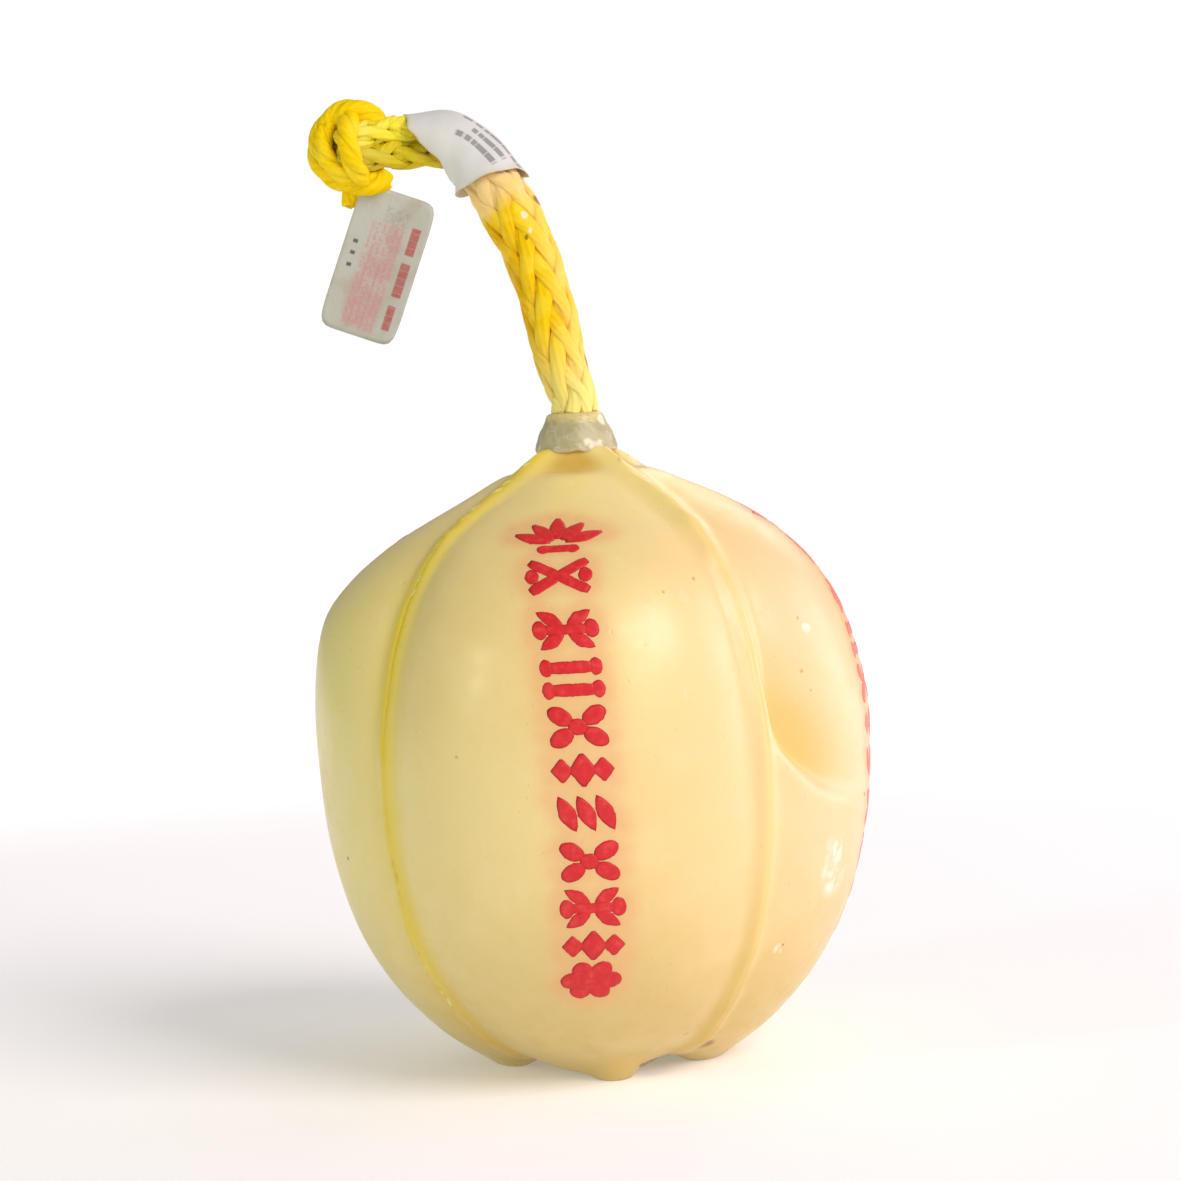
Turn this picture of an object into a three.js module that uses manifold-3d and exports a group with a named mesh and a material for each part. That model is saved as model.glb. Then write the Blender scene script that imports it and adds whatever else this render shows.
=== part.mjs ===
// A provolone cheese of the melon shape: a waxed body that four sling ropes press into
// four lobes, gathered under a wax collar, with the plaited rope handle standing above it.
// The handle bends over to the left and ends in a knot, which holds a plastic tag.
// Millimetres, +Z up. The origin is on the floor, under the middle of the body.
// The first lobe faces -Y, and azimuths run from it towards +X.
import * as THREE from "three";
import { ParametricGeometry } from "three/addons/geometries/ParametricGeometry.js";
import { mergeVertices } from "three/addons/utils/BufferGeometryUtils.js";
import Module from "manifold-3d";

const wasm = await Module();
wasm.setup();

// Driving dimensions.
const LOBES = 4;
const CLEARANCE = 0.35; // between pieces that touch
const SLING_DIAMETER = 5.5;
const HANDLE_DIAMETER = 21.6;
const CORD_DIAMETER = 9.3; // each of the two cords that go on into the knot
const COLLAR_BOTTOM = 225.3;
const COLLAR_HEIGHT = 14.2;
const HANDLE_TURN = THREE.MathUtils.degToRad(6); // the plane of the handle, from the X axis
const TAG_SIZE = { width: 29, height: 54.4, thickness: 1, corner: 3 };
const LABEL_THICKNESS = 0.8;

// The collar's outline, as radius and height above its own foot.
const COLLAR_OUTLINE = [
  [0, 0],
  [15.6, 0],
  [15.3, 2.2],
  [13.5, 6.5],
  [11.7, 11],
  [10.9, COLLAR_HEIGHT],
  [0, COLLAR_HEIGHT],
];
const COLLAR_SLICES = 32;

// The body's two outlines, as radius and height from the neck down to the middle of the
// underside. The stations of the two lists belong together in pairs.
const CREST_OUTLINE = [
  [13, 225],
  [14, 217],
  [18.5, 212.4],
  [27, 214.8],
  [41, 211],
  [57.5, 203.2],
  [72.5, 193.6],
  [86.5, 180.3],
  [96.5, 163.3],
  [101.6, 140],
  [102.3, 118],
  [99.8, 88],
  [92.3, 58],
  [80, 34],
  [64, 15.5],
  [49, 4.2],
  [37, -2.6],
  [26, 1.6],
  [12, 12],
  [0, 15.5],
];
const VALLEY_OUTLINE = [
  [13.5, 225],
  [17, 223.9],
  [22, 221.2],
  [29.4, 216.1],
  [39, 210.7],
  [50, 204.6],
  [62.5, 196],
  [74.5, 181.5],
  [83.5, 163],
  [90, 140],
  [92.8, 117],
  [91.8, 88],
  [85, 58],
  [71.5, 34],
  [55.5, 17],
  [44, 9.8],
  [33, 8],
  [23, 9.2],
  [11, 12.6],
  [0, 15.5],
];
const LOBE_FULLNESS = 2.4; // 2 is a plain arc from rope to rope, more is a fuller lobe

// How far the fullest part of each lobe sits above or below the mean, front lobe first. The
// shoulder gives way by a share of that. Both are bells along the way from the neck (0) to
// the middle of the underside (1).
const LOBE_LIFTS = [0, -5, 0, 6];
const FULLEST = { middle: 0.45, width: 0.07, share: 1 };
const SHOULDER = { middle: 0.25, width: 0.08, share: -0.25 };

// The bowl pressed into the second lobe, close to its rope.
const DENT = { azimuth: 55, height: 117, across: 13.6, along: 16.4, depth: 6.5 };

// The front lobe stops short of the floor, and stands on the little tip left by tying.
const TIP = { azimuth: 8, radius: 43, width: 8, reach: 24, drop: 5, raise: 2.2 };

// The ropes come out from under the collar at one station of the valley and leave it at
// another. Under the body they go on over these radii, each with its share of the way down.
const ROPE_STATIONS = [2, 16];
const UNDERSIDE_ROUTE = [
  [30, 0.45],
  [15, 0.9],
];
const LOWEST_ROPE = 1.6; // from the floor to the lower rope, under the middle

const SLICES = 72;
const ROWS = 40;
const CORD_SIDES = 8;
const SLING_STEPS = 58;
const WELD_DISTANCE = 1e-3;

const toRadians = THREE.MathUtils.degToRad;
const lobeAngle = 360 / LOBES;

const colours = {
  wax: { color: 0xf3dfa6, roughness: 0.42, metalness: 0 },
  sling: { color: 0xe6cf62, roughness: 0.55, metalness: 0 },
  collar: { color: 0xcbbf95, roughness: 0.35, metalness: 0 },
  handle: { color: 0xf0c419, roughness: 0.65, metalness: 0 },
  knot: { color: 0xf2cf10, roughness: 0.6, metalness: 0 },
  label: { color: 0xdcdad2, roughness: 0.7, metalness: 0 },
  tag: { color: 0xcfcdc0, roughness: 0.4, metalness: 0 },
};

// A copy of a geometry that has only shared corners and no collapsed faces.
function weld(geometry) {
  const bare = new THREE.BufferGeometry();
  bare.setAttribute("position", geometry.getAttribute("position"));
  bare.setIndex(geometry.getIndex());
  const merged = mergeVertices(bare, WELD_DISTANCE);
  const corners = merged.getIndex().array;
  const kept = [];
  for (let i = 0; i < corners.length; i += 3) {
    const [a, b, c] = corners.slice(i, i + 3);
    if (a !== b && b !== c && c !== a) kept.push(a, b, c);
  }
  merged.setIndex(kept);
  return merged;
}

function toSolid(geometry) {
  const welded = weld(geometry);
  return new wasm.Manifold(
    new wasm.Mesh({
      numProp: 3,
      vertProperties: welded.getAttribute("position").array,
      triVerts: new Uint32Array(welded.getIndex().array),
    }),
  );
}

function toGeometry(solid) {
  const mesh = solid.getMesh();
  const geometry = new THREE.BufferGeometry();
  geometry.setAttribute("position", new THREE.BufferAttribute(mesh.vertProperties, 3));
  geometry.setIndex(new THREE.BufferAttribute(mesh.triVerts, 1));
  geometry.computeVertexNormals();
  return geometry;
}

function makeMesh(name, geometry, finish) {
  const mesh = new THREE.Mesh(geometry, new THREE.MeshStandardMaterial(finish));
  mesh.name = name;
  return mesh;
}

function toVectors(points) {
  return points.map((point) => new THREE.Vector3(...point));
}

// A round tube along a smooth line through the points.
function sweep(points, radius, sides, steps) {
  const section = new THREE.Shape().absarc(0, 0, radius, 0, 2 * Math.PI);
  return new THREE.ExtrudeGeometry(section, {
    extrudePath: new THREE.CatmullRomCurve3(points),
    curveSegments: sides / 2,
    steps,
  });
}

// Where a radius and a height lie at an azimuth, counted from the front lobe.
function place(radius, azimuth, height) {
  const angle = toRadians(azimuth);
  return [radius * Math.sin(angle), -radius * Math.cos(angle), height];
}

const bump = (distance) => Math.exp(-distance * distance);

function bell(progress, { middle, width, share }) {
  return share * bump((progress - middle) / width);
}

function outlineCurve(outline) {
  return new THREE.SplineCurve(outline.map((station) => new THREE.Vector2(...station)));
}

const crestCurve = outlineCurve(CREST_OUTLINE);
const valleyCurve = outlineCurve(VALLEY_OUTLINE);

// A point of the waxed skin: azimuth in degrees, and progress from the neck (0) to the
// middle of the underside (1).
function skinPoint(azimuth, progress) {
  const lobe = Math.round(azimuth / lobeAngle);
  const offCrest = Math.abs(azimuth - lobe * lobeAngle) / (lobeAngle / 2);
  const fullness = 1 - offCrest ** LOBE_FULLNESS;
  const crest = crestCurve.getPoint(progress);
  const valley = valleyCurve.getPoint(progress);
  crest.y += LOBE_LIFTS[lobe % LOBES] * (bell(progress, FULLEST) + bell(progress, SHOULDER));
  const point = valley.lerp(crest, fullness);
  if (lobe % LOBES === 0) {
    const turn = toRadians(azimuth - lobe * lobeAngle - TIP.azimuth);
    const sideways = (point.x * Math.sin(turn)) / TIP.width;
    const outwards = (point.x - TIP.radius) / TIP.width;
    const low = fullness * bump(point.y / TIP.reach);
    const tip = (TIP.raise + TIP.drop) * bump(sideways) * bump(outwards);
    point.y += low * (TIP.raise - tip);
  }
  const across = (toRadians(azimuth - DENT.azimuth) * point.x) / DENT.across;
  const along = (point.y - DENT.height) / DENT.along;
  point.x -= DENT.depth * bump(Math.hypot(across, along));
  return place(point.x, azimuth, Math.max(point.y, 0));
}

// The whole skin: the first row closes the neck, and the last rows meet underneath.
function skinGeometry() {
  return new ParametricGeometry(
    (u, v, target) => {
      const row = Math.round(v * ROWS);
      const azimuth = 360 * (1 - u);
      if (row === 0) target.set(0, 0, CREST_OUTLINE[0][1]);
      else target.set(...skinPoint(azimuth, (row - 1) / (ROWS - 1)));
    },
    SLICES,
    ROWS,
  );
}

// A sling rope goes down one valley, under the body and up the valley opposite.
// crossing is the height of its middle where the two ropes cross.
function slingRoute(azimuth, crossing) {
  const down = VALLEY_OUTLINE.slice(...ROPE_STATIONS);
  const lastHeight = down[down.length - 1][1];
  const under = UNDERSIDE_ROUTE.map(([radius, share]) => [
    radius,
    THREE.MathUtils.lerp(lastHeight, crossing, share),
  ]);
  const half = [...down, ...under];
  const first = half.map(([radius, height]) => place(radius, azimuth, height));
  const second = half.map(([radius, height]) => place(radius, azimuth + 180, height));
  return toVectors([...first, [0, 0, crossing], ...second.reverse()]);
}

const lowCrossing = LOWEST_ROPE + SLING_DIAMETER / 2;
const highCrossing = lowCrossing + SLING_DIAMETER + CLEARANCE;
const slingRoutes = {
  sling_rope_a: slingRoute(-lobeAngle / 2, lowCrossing),
  sling_rope_b: slingRoute(lobeAngle / 2, highCrossing),
};

function cheeseBody() {
  let body = toSolid(skinGeometry());
  for (const route of Object.values(slingRoutes)) {
    const channel = sweep(route, SLING_DIAMETER / 2 + CLEARANCE, CORD_SIDES, SLING_STEPS);
    body = body.subtract(toSolid(channel));
  }
  return makeMesh("cheese_body", toGeometry(body), colours.wax);
}

function slingRope(name) {
  const rope = sweep(slingRoutes[name], SLING_DIAMETER / 2, CORD_SIDES, SLING_STEPS);
  return makeMesh(name, rope, colours.sling);
}

function waxCollar() {
  const points = COLLAR_OUTLINE.map((station) => new THREE.Vector2(...station));
  const geometry = new THREE.LatheGeometry(points, COLLAR_SLICES);
  const collar = makeMesh("wax_collar", geometry, colours.collar);
  collar.rotation.x = Math.PI / 2;
  collar.position.z = COLLAR_BOTTOM;
  return collar;
}

// The middle line of the handle in its own plane: sideways, backwards and up.
const collarTop = COLLAR_BOTTOM + COLLAR_HEIGHT;
const HANDLE_ROUTE = [
  [0, 0, collarTop + CLEARANCE],
  [0, 0, 245.8],
  [-1.8, 0.2, 251],
  [-4.9, 1.2, 263.6],
  [-6.8, 2.8, 274.8],
  [-9.3, 5.2, 286.1],
  [-12.4, 8.2, 297.4],
  [-16.6, 11.6, 308.7],
  [-22.2, 14.6, 320.1],
  [-28.4, 16.8, 330.8],
  [-34.6, 18, 338.2],
  [-41, 18.4, 342.2],
  [-48.4, 18, 343.4],
  [-56.4, 17, 343.3],
  [-62, 16.2, 343.2],
];
const handleCurve = new THREE.CatmullRomCurve3(toVectors(HANDLE_ROUTE));
const LABEL_SPAN = [0.64, 0.9]; // from where to where the label covers the handle
const PLAIT_END = 0.855; // under the label the plait turns into two cords
const CORDS_START = 0.885;
const HANDLE_SIDES = 10;
const HANDLE_STEPS = 24;
const END_STEPS = 6;
const LABEL_STEPS = 10;
const LABEL_SIDES = 16;

// Points of the handle's middle line from one share of its length to another.
function handleStretch(from, to, count) {
  const steps = Array.from({ length: count + 1 }, (_, i) => i / count);
  return steps.map((step) => handleCurve.getPointAt(THREE.MathUtils.lerp(from, to, step)));
}

// The direction across the handle, in its own plane, at a share of its length.
function acrossHandle(share) {
  return new THREE.Vector3(0, 1, 0).cross(handleCurve.getTangentAt(share)).normalize();
}

function handleRope() {
  const route = handleStretch(0, PLAIT_END, HANDLE_STEPS);
  const rope = sweep(route, HANDLE_DIAMETER / 2, HANDLE_SIDES, HANDLE_STEPS);
  return makeMesh("rope_handle", rope, colours.handle);
}

// One of the two cords between the plait and the knot: side is 1 above, -1 below.
function cordEnd(name, side) {
  const offset = (side * (CORD_DIAMETER + CLEARANCE)) / 2;
  const route = handleStretch(CORDS_START, 1, END_STEPS).map((point, i) => {
    const share = THREE.MathUtils.lerp(CORDS_START, 1, i / END_STEPS);
    return point.addScaledVector(acrossHandle(share), offset);
  });
  const cord = sweep(route, CORD_DIAMETER / 2, CORD_SIDES, END_STEPS);
  return makeMesh(name, cord, colours.knot);
}

function paperLabel() {
  const inner = HANDLE_DIAMETER / 2 + CLEARANCE;
  const ring = new THREE.Shape().absarc(0, 0, inner + LABEL_THICKNESS, 0, 2 * Math.PI);
  ring.holes.push(new THREE.Path().absarc(0, 0, inner, 0, 2 * Math.PI, true));
  const geometry = new THREE.ExtrudeGeometry(ring, {
    extrudePath: new THREE.CatmullRomCurve3(handleStretch(...LABEL_SPAN, LABEL_STEPS)),
    curveSegments: LABEL_SIDES / 2,
    steps: LABEL_STEPS,
  });
  return makeMesh("paper_label", geometry, colours.label);
}

// The knot's strands in the handle's plane. The wrap goes once round over the top and the
// left, the front turn comes down over it, and the tail hangs out below.
const KNOT_WRAP = [
  [-62, 14, 348.2],
  [-68.5, 13, 352],
  [-76.2, 14, 356.3],
  [-82, 15, 353.2],
  [-85.2, 15, 348.4],
  [-88.2, 14.6, 341.6],
  [-86.8, 13.6, 335.6],
  [-81, 12.6, 331.8],
  [-73.5, 11.6, 330.6],
  [-66.2, 11, 332.2],
];
const KNOT_TURN = [
  [-79, 22, 352],
  [-78, 10, 350],
  [-80.4, 6, 343],
  [-78.6, 8, 334.6],
  [-76.4, 15, 329.6],
];
const KNOT_CORE = { centre: [-75.6, 17, 342.2], size: [13.6, 11, 13] };
const WRAP_STEPS = 20;
const TURN_STEPS = 10;
const ROUND_SEGMENTS = 12; // of the core, the wrap's end and the tail
const TAIL = { top: [-77.6, 17, 331], tip: [-79.6, 16.4, 320.6], tipRadius: 2.6 };
const TAG_MIDDLE = [-70, 14.2, 298.6];
const TAG_TILT = toRadians(-21.5);

// The tag's outline, thickened, with a margin all round.
function tagShape(margin) {
  const halfWidth = TAG_SIZE.width / 2 + margin;
  const halfHeight = TAG_SIZE.height / 2 + margin;
  const { corner } = TAG_SIZE;
  const outline = new THREE.Shape();
  outline.absarc(halfWidth - corner, corner - halfHeight, corner, -Math.PI / 2, 0);
  outline.absarc(halfWidth - corner, halfHeight - corner, corner, 0, Math.PI / 2);
  outline.absarc(corner - halfWidth, halfHeight - corner, corner, Math.PI / 2, Math.PI);
  outline.absarc(corner - halfWidth, corner - halfHeight, corner, Math.PI, 1.5 * Math.PI);
  const depth = TAG_SIZE.thickness + 2 * margin;
  const geometry = new THREE.ExtrudeGeometry(outline, {
    depth,
    bevelEnabled: false,
    curveSegments: 4, // to each rounded corner
  });
  geometry.translate(0, 0, -depth / 2);
  geometry.rotateX(Math.PI / 2);
  geometry.rotateY(-TAG_TILT);
  geometry.translate(...TAG_MIDDLE);
  return geometry;
}

function tailGeometry() {
  const top = new THREE.Vector3(...TAIL.top);
  const tip = new THREE.Vector3(...TAIL.tip);
  const fall = tip.clone().sub(top);
  const radius = CORD_DIAMETER / 2;
  const cone = new THREE.CylinderGeometry(radius, TAIL.tipRadius, fall.length(), ROUND_SEGMENTS);
  const turn = new THREE.Quaternion();
  turn.setFromUnitVectors(new THREE.Vector3(0, -1, 0), fall.clone().normalize());
  const middle = top.add(tip).multiplyScalar(0.5);
  return cone.applyQuaternion(turn).translate(middle.x, middle.y, middle.z);
}

// The block of space that the handle's last stretch takes up, as far as the knot's flat face.
function handleSide() {
  const size = 60;
  const block = new THREE.BoxGeometry(size, size, size);
  const direction = handleCurve.getTangentAt(1);
  const turn = new THREE.Quaternion();
  turn.setFromUnitVectors(new THREE.Vector3(0, 0, 1), direction);
  const middle = handleCurve.getPointAt(1).addScaledVector(direction, CLEARANCE - size / 2);
  return block.applyQuaternion(turn).translate(middle.x, middle.y, middle.z);
}

// The knot is one solid, with a slot that grips the tag's upper corner, and a flat face that
// stops short of the two cords.
function handleKnot() {
  const radius = CORD_DIAMETER / 2;
  const core = new THREE.SphereGeometry(1, ROUND_SEGMENTS, ROUND_SEGMENTS);
  core.scale(...KNOT_CORE.size).translate(...KNOT_CORE.centre);
  const wrapEnd = new THREE.SphereGeometry(radius, ROUND_SEGMENTS, ROUND_SEGMENTS / 2);
  wrapEnd.translate(...KNOT_WRAP[KNOT_WRAP.length - 1]);
  const wrap = sweep(toVectors(KNOT_WRAP), radius, CORD_SIDES, WRAP_STEPS);
  const turn = sweep(toVectors(KNOT_TURN), radius, CORD_SIDES, TURN_STEPS);
  let knot = toSolid(core);
  for (const strand of [wrap, wrapEnd, turn, tailGeometry()]) knot = knot.add(toSolid(strand));
  for (const gap of [tagShape(CLEARANCE), handleSide()]) knot = knot.subtract(toSolid(gap));
  return makeMesh("handle_knot", toGeometry(knot), colours.knot);
}

const cheese = new THREE.Group();
cheese.add(cheeseBody());
for (const name of Object.keys(slingRoutes)) cheese.add(slingRope(name));
cheese.add(waxCollar());

const handle = new THREE.Group();
handle.rotation.z = HANDLE_TURN;
handle.add(handleRope(), cordEnd("cord_upper", 1), cordEnd("cord_lower", -1));
handle.add(paperLabel(), handleKnot());
handle.add(makeMesh("plastic_tag", tagShape(0), colours.tag));
cheese.add(handle);

export default cheese;
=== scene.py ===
# %% [markdown]
# # A provolone cheese on its rope
#
# This is the melon-shaped kind. The curd is pressed into a mould, and two crossed ropes
# cut it into four lobes while it is soft. It is then dipped in wax, stamped in red along
# each lobe, and lifted by a stiff plaited handle that is tied off in a knot.
#
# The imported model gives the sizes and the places. Each step below dresses one part of it,
# in metres and in the same frame: Z is up, the front lobe looks along -Y, and azimuths
# are counted from that lobe towards +X.

# %% Load the frame
import math

import bpy
import numpy as np
from mathutils import Matrix, Vector


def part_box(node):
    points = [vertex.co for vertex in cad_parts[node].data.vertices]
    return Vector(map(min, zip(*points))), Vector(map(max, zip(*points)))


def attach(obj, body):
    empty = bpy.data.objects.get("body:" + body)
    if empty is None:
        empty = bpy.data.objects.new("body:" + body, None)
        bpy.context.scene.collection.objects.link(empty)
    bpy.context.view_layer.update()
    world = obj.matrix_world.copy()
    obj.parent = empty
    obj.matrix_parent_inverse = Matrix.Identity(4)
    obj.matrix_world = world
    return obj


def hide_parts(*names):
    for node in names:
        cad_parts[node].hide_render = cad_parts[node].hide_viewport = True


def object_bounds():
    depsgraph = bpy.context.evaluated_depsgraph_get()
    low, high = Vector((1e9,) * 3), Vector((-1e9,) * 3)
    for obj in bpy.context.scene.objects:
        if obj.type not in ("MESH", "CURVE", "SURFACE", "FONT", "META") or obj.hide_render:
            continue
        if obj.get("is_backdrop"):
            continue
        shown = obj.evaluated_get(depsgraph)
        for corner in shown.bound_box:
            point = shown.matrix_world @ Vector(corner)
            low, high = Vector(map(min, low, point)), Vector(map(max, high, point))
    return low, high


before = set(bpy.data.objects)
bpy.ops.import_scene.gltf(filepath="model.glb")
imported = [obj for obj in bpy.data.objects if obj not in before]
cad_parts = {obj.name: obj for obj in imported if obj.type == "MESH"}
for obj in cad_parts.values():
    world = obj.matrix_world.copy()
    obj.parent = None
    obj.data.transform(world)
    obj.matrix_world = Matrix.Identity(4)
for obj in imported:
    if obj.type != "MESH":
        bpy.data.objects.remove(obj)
cad_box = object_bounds()

MM = 0.001
COLLAR_LOW, COLLAR_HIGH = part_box("wax_collar")
KNOT_LOW, KNOT_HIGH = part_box("handle_knot")
TAG_LOW, TAG_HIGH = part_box("plastic_tag")
print("nodes:", ", ".join(sorted(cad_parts)))
MEASURED = {"collar": (COLLAR_LOW, COLLAR_HIGH), "knot": (KNOT_LOW, KNOT_HIGH),
            "tag": (TAG_LOW, TAG_HIGH)}
for label, (low, high) in MEASURED.items():
    print(label, "from", round(low.z / MM, 1), "to", round(high.z / MM, 1), "mm up")

# %% [markdown]
# ## The camera
#
# A long lens from a little over a metre keeps the lobes' outlines nearly parallel. The
# camera is rolled a few degrees, and the cheese itself isn't tilted: it stands on its own
# four feet.

# %% Place the camera
IMAGE_SIDE = 1181
PIXEL = 0.37 * MM  # what one pixel covers at the aim
SENSOR = 36.0
CAMERA = {"azimuth": 6.0, "elevation": 4.0, "roll": 3.2, "distance": 1.25}
AIM_SIDEWAYS = 2.2 * MM
AIM_HEIGHT = 174 * MM


def place_camera():
    turn, rise, roll = (math.radians(CAMERA[k]) for k in ("azimuth", "elevation", "roll"))
    looking = Vector((-math.sin(turn) * math.cos(rise), math.cos(turn) * math.cos(rise),
                      -math.sin(rise)))
    level = Vector((math.cos(turn), math.sin(turn), 0))
    upright = level.cross(looking)
    right = level * math.cos(roll) - upright * math.sin(roll)
    up = level * math.sin(roll) + upright * math.cos(roll)
    aim = level * AIM_SIDEWAYS + Vector((0, 0, AIM_HEIGHT))
    data = bpy.data.cameras.new("camera")
    data.sensor_width = SENSOR
    data.lens = SENSOR * CAMERA["distance"] / (PIXEL * IMAGE_SIDE)
    data.clip_start = 0.05
    camera = bpy.data.objects.new("camera", data)
    bpy.context.scene.collection.objects.link(camera)
    axes = Matrix((right, up, -looking)).transposed().to_4x4()
    camera.matrix_world = Matrix.Translation(aim - looking * CAMERA["distance"]) @ axes
    bpy.context.scene.camera = camera
    return data.lens


print("lens:", round(place_camera(), 1), "mm")

# %% [markdown]
# ## Smooth lines through listed points
#
# Ropes, outlines and edges are all given by a few points each. A Catmull-Rom spline goes
# through every point, so what is typed is what is measured. The same formula serves
# points of two and of three numbers.

# %% Splines and paths
def spline(points, shares):
    """Points of a smooth line: share 0 is the first of the given points, 1 the last."""
    points = np.asarray(points, float)
    last = len(points) - 1
    position = last * np.asarray(shares, float)
    index = np.clip(np.floor(position).astype(int), 0, last)
    part = (position - index)[..., None]
    before = points[np.where(index == 0, index, index - 1)]
    here = points[index]
    after = points[np.minimum(index + 1, last)]
    beyond = points[np.minimum(index + 2, last)]
    start, end = (after - before) / 2, (beyond - here) / 2
    cubic = 2 * here - 2 * after + start + end
    square = -3 * here + 3 * after - 2 * start - end
    return cubic * part**3 + square * part**2 + start * part + here


def even_steps(points, count):
    """The same line with its points at even distances, and its length."""
    fine = spline(points, np.linspace(0, 1, 40 * len(points)))
    gone = np.concatenate([[0], np.cumsum(np.linalg.norm(np.diff(fine, axis=0), axis=1))])
    wanted = np.linspace(0, gone[-1], count)
    return np.stack([np.interp(wanted, gone, fine[:, k]) for k in range(3)], axis=1), gone[-1]


def rise_between(low, high, value):
    """0 below low, 1 above high and a smooth step between."""
    part = np.clip((np.asarray(value, float) - low) / (high - low), 0, 1)
    return part * part * (3 - 2 * part)


def bump(distance):
    """1 at 0, and falling away softly on both sides."""
    return np.exp(-np.square(distance))


def degrees_aside(azimuth, middle):
    """How far an azimuth lies from another, from -180 to 180 degrees."""
    return (azimuth - middle + 180) % 360 - 180


# %% [markdown]
# ## The handle's line
#
# The handle is a plait soaked in wax, stiff enough to stand by itself. It rises from the
# collar, leans back and bends over to the left, where it ends in its knot. These points
# are the middle line: sideways, backwards and up, in a plane that is turned a little
# about the upright axis.

# %% The handle's line
HANDLE_TURN = math.radians(6)
HANDLE_POINTS = MM * np.array([
    [0, 0, 239.85], [0, 0, 245.8], [-1.8, 0.2, 251], [-4.9, 1.2, 263.6], [-6.8, 2.8, 274.8],
    [-9.3, 5.2, 286.1], [-12.4, 8.2, 297.4], [-16.6, 11.6, 308.7], [-22.2, 14.6, 320.1],
    [-28.4, 16.8, 330.8], [-34.6, 18, 338.2], [-41, 18.4, 342.2], [-48.4, 18, 343.4],
    [-56.4, 17, 343.3], [-62, 16.2, 343.2],
])
LINE_STEPS = 401


def turned(points):
    """From the handle's own plane to the frame of the whole cheese."""
    sine, cosine = math.sin(HANDLE_TURN), math.cos(HANDLE_TURN)
    x, y, z = np.moveaxis(np.asarray(points, float), -1, 0)
    return np.stack([x * cosine - y * sine, x * sine + y * cosine, z], axis=-1)


handle_line, handle_length = even_steps(turned(HANDLE_POINTS), LINE_STEPS)
tangents = np.gradient(handle_line, axis=0)
tangents /= np.linalg.norm(tangents, axis=1)[:, None]
backwards = turned([0, 1, 0])
outer_side = np.cross(backwards, tangents)
outer_side /= np.linalg.norm(outer_side, axis=1)[:, None]
rear_side = np.cross(tangents, outer_side)


def on_handle(share, turn, radius):
    """A point round the handle: turn 0 is the bend's outer side, 90 degrees its front."""
    row = np.clip(np.asarray(share) * (LINE_STEPS - 1), 0, LINE_STEPS - 1)
    low = np.floor(row).astype(int)
    high = np.minimum(low + 1, LINE_STEPS - 1)
    part = (row - low)[..., None]
    middle, outer, rear = (a[low] * (1 - part) + a[high] * part
                           for a in (handle_line, outer_side, rear_side))
    turn, radius = np.asarray(turn)[..., None], np.asarray(radius)[..., None]
    return middle + radius * (outer * np.cos(turn) - rear * np.sin(turn))


print("handle:", round(handle_length / MM, 1), "mm long")

# %% [markdown]
# ## Materials as sums
#
# A material is easier to read as arithmetic than as a web of nodes. Each wire below can
# be added, subtracted, multiplied and so on, and every such step adds the Math node that
# does it. Colours are mixed by a Mix node, because a Math node would turn them grey.

# %% Wires and paints
class Wire:
    """One number of a node tree, which arithmetic turns into the next one."""

    def __init__(self, nodes, socket):
        self.nodes, self.socket = nodes, socket

    def __add__(self, other):
        return self.nodes.sum_of("ADD", self, other)

    def __sub__(self, other):
        return self.nodes.sum_of("SUBTRACT", self, other)

    def __rsub__(self, other):
        return self.nodes.sum_of("SUBTRACT", other, self)

    def __mul__(self, other):
        return self.nodes.sum_of("MULTIPLY", self, other)

    def __truediv__(self, other):
        return self.nodes.sum_of("DIVIDE", self, other)

    def __rtruediv__(self, other):
        return self.nodes.sum_of("DIVIDE", other, self)

    def __mod__(self, other):
        return self.nodes.sum_of("FLOORED_MODULO", self, other)

    def least(self, other):
        return self.nodes.sum_of("MINIMUM", self, other)

    def sine(self):
        return self.nodes.sum_of("SINE", self)

    def cosine(self):
        return self.nodes.sum_of("COSINE", self)

    def size(self):
        return self.nodes.sum_of("ABSOLUTE", self)

    __radd__, __rmul__ = __add__, __mul__


class Nodes:
    """A node tree under construction, for a material or for geometry."""

    def __init__(self, tree):
        self.tree = tree

    def node(self, kind, settings=None, values=None):
        node = self.tree.nodes.new(kind)
        for name, value in (settings or {}).items():
            setattr(node, name, value)
        for socket, value in (values or {}).items():
            self.feed(node.inputs[socket], value)
        return node

    def feed(self, socket, value):
        source = value.socket if isinstance(value, Wire) else value
        if isinstance(source, bpy.types.NodeSocket):
            self.tree.links.new(source, socket)
        else:
            socket.default_value = source

    def sum_of(self, operation, *values):
        node = self.node("ShaderNodeMath", {"operation": operation}, dict(enumerate(values)))
        return Wire(self, node.outputs[0])


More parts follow.
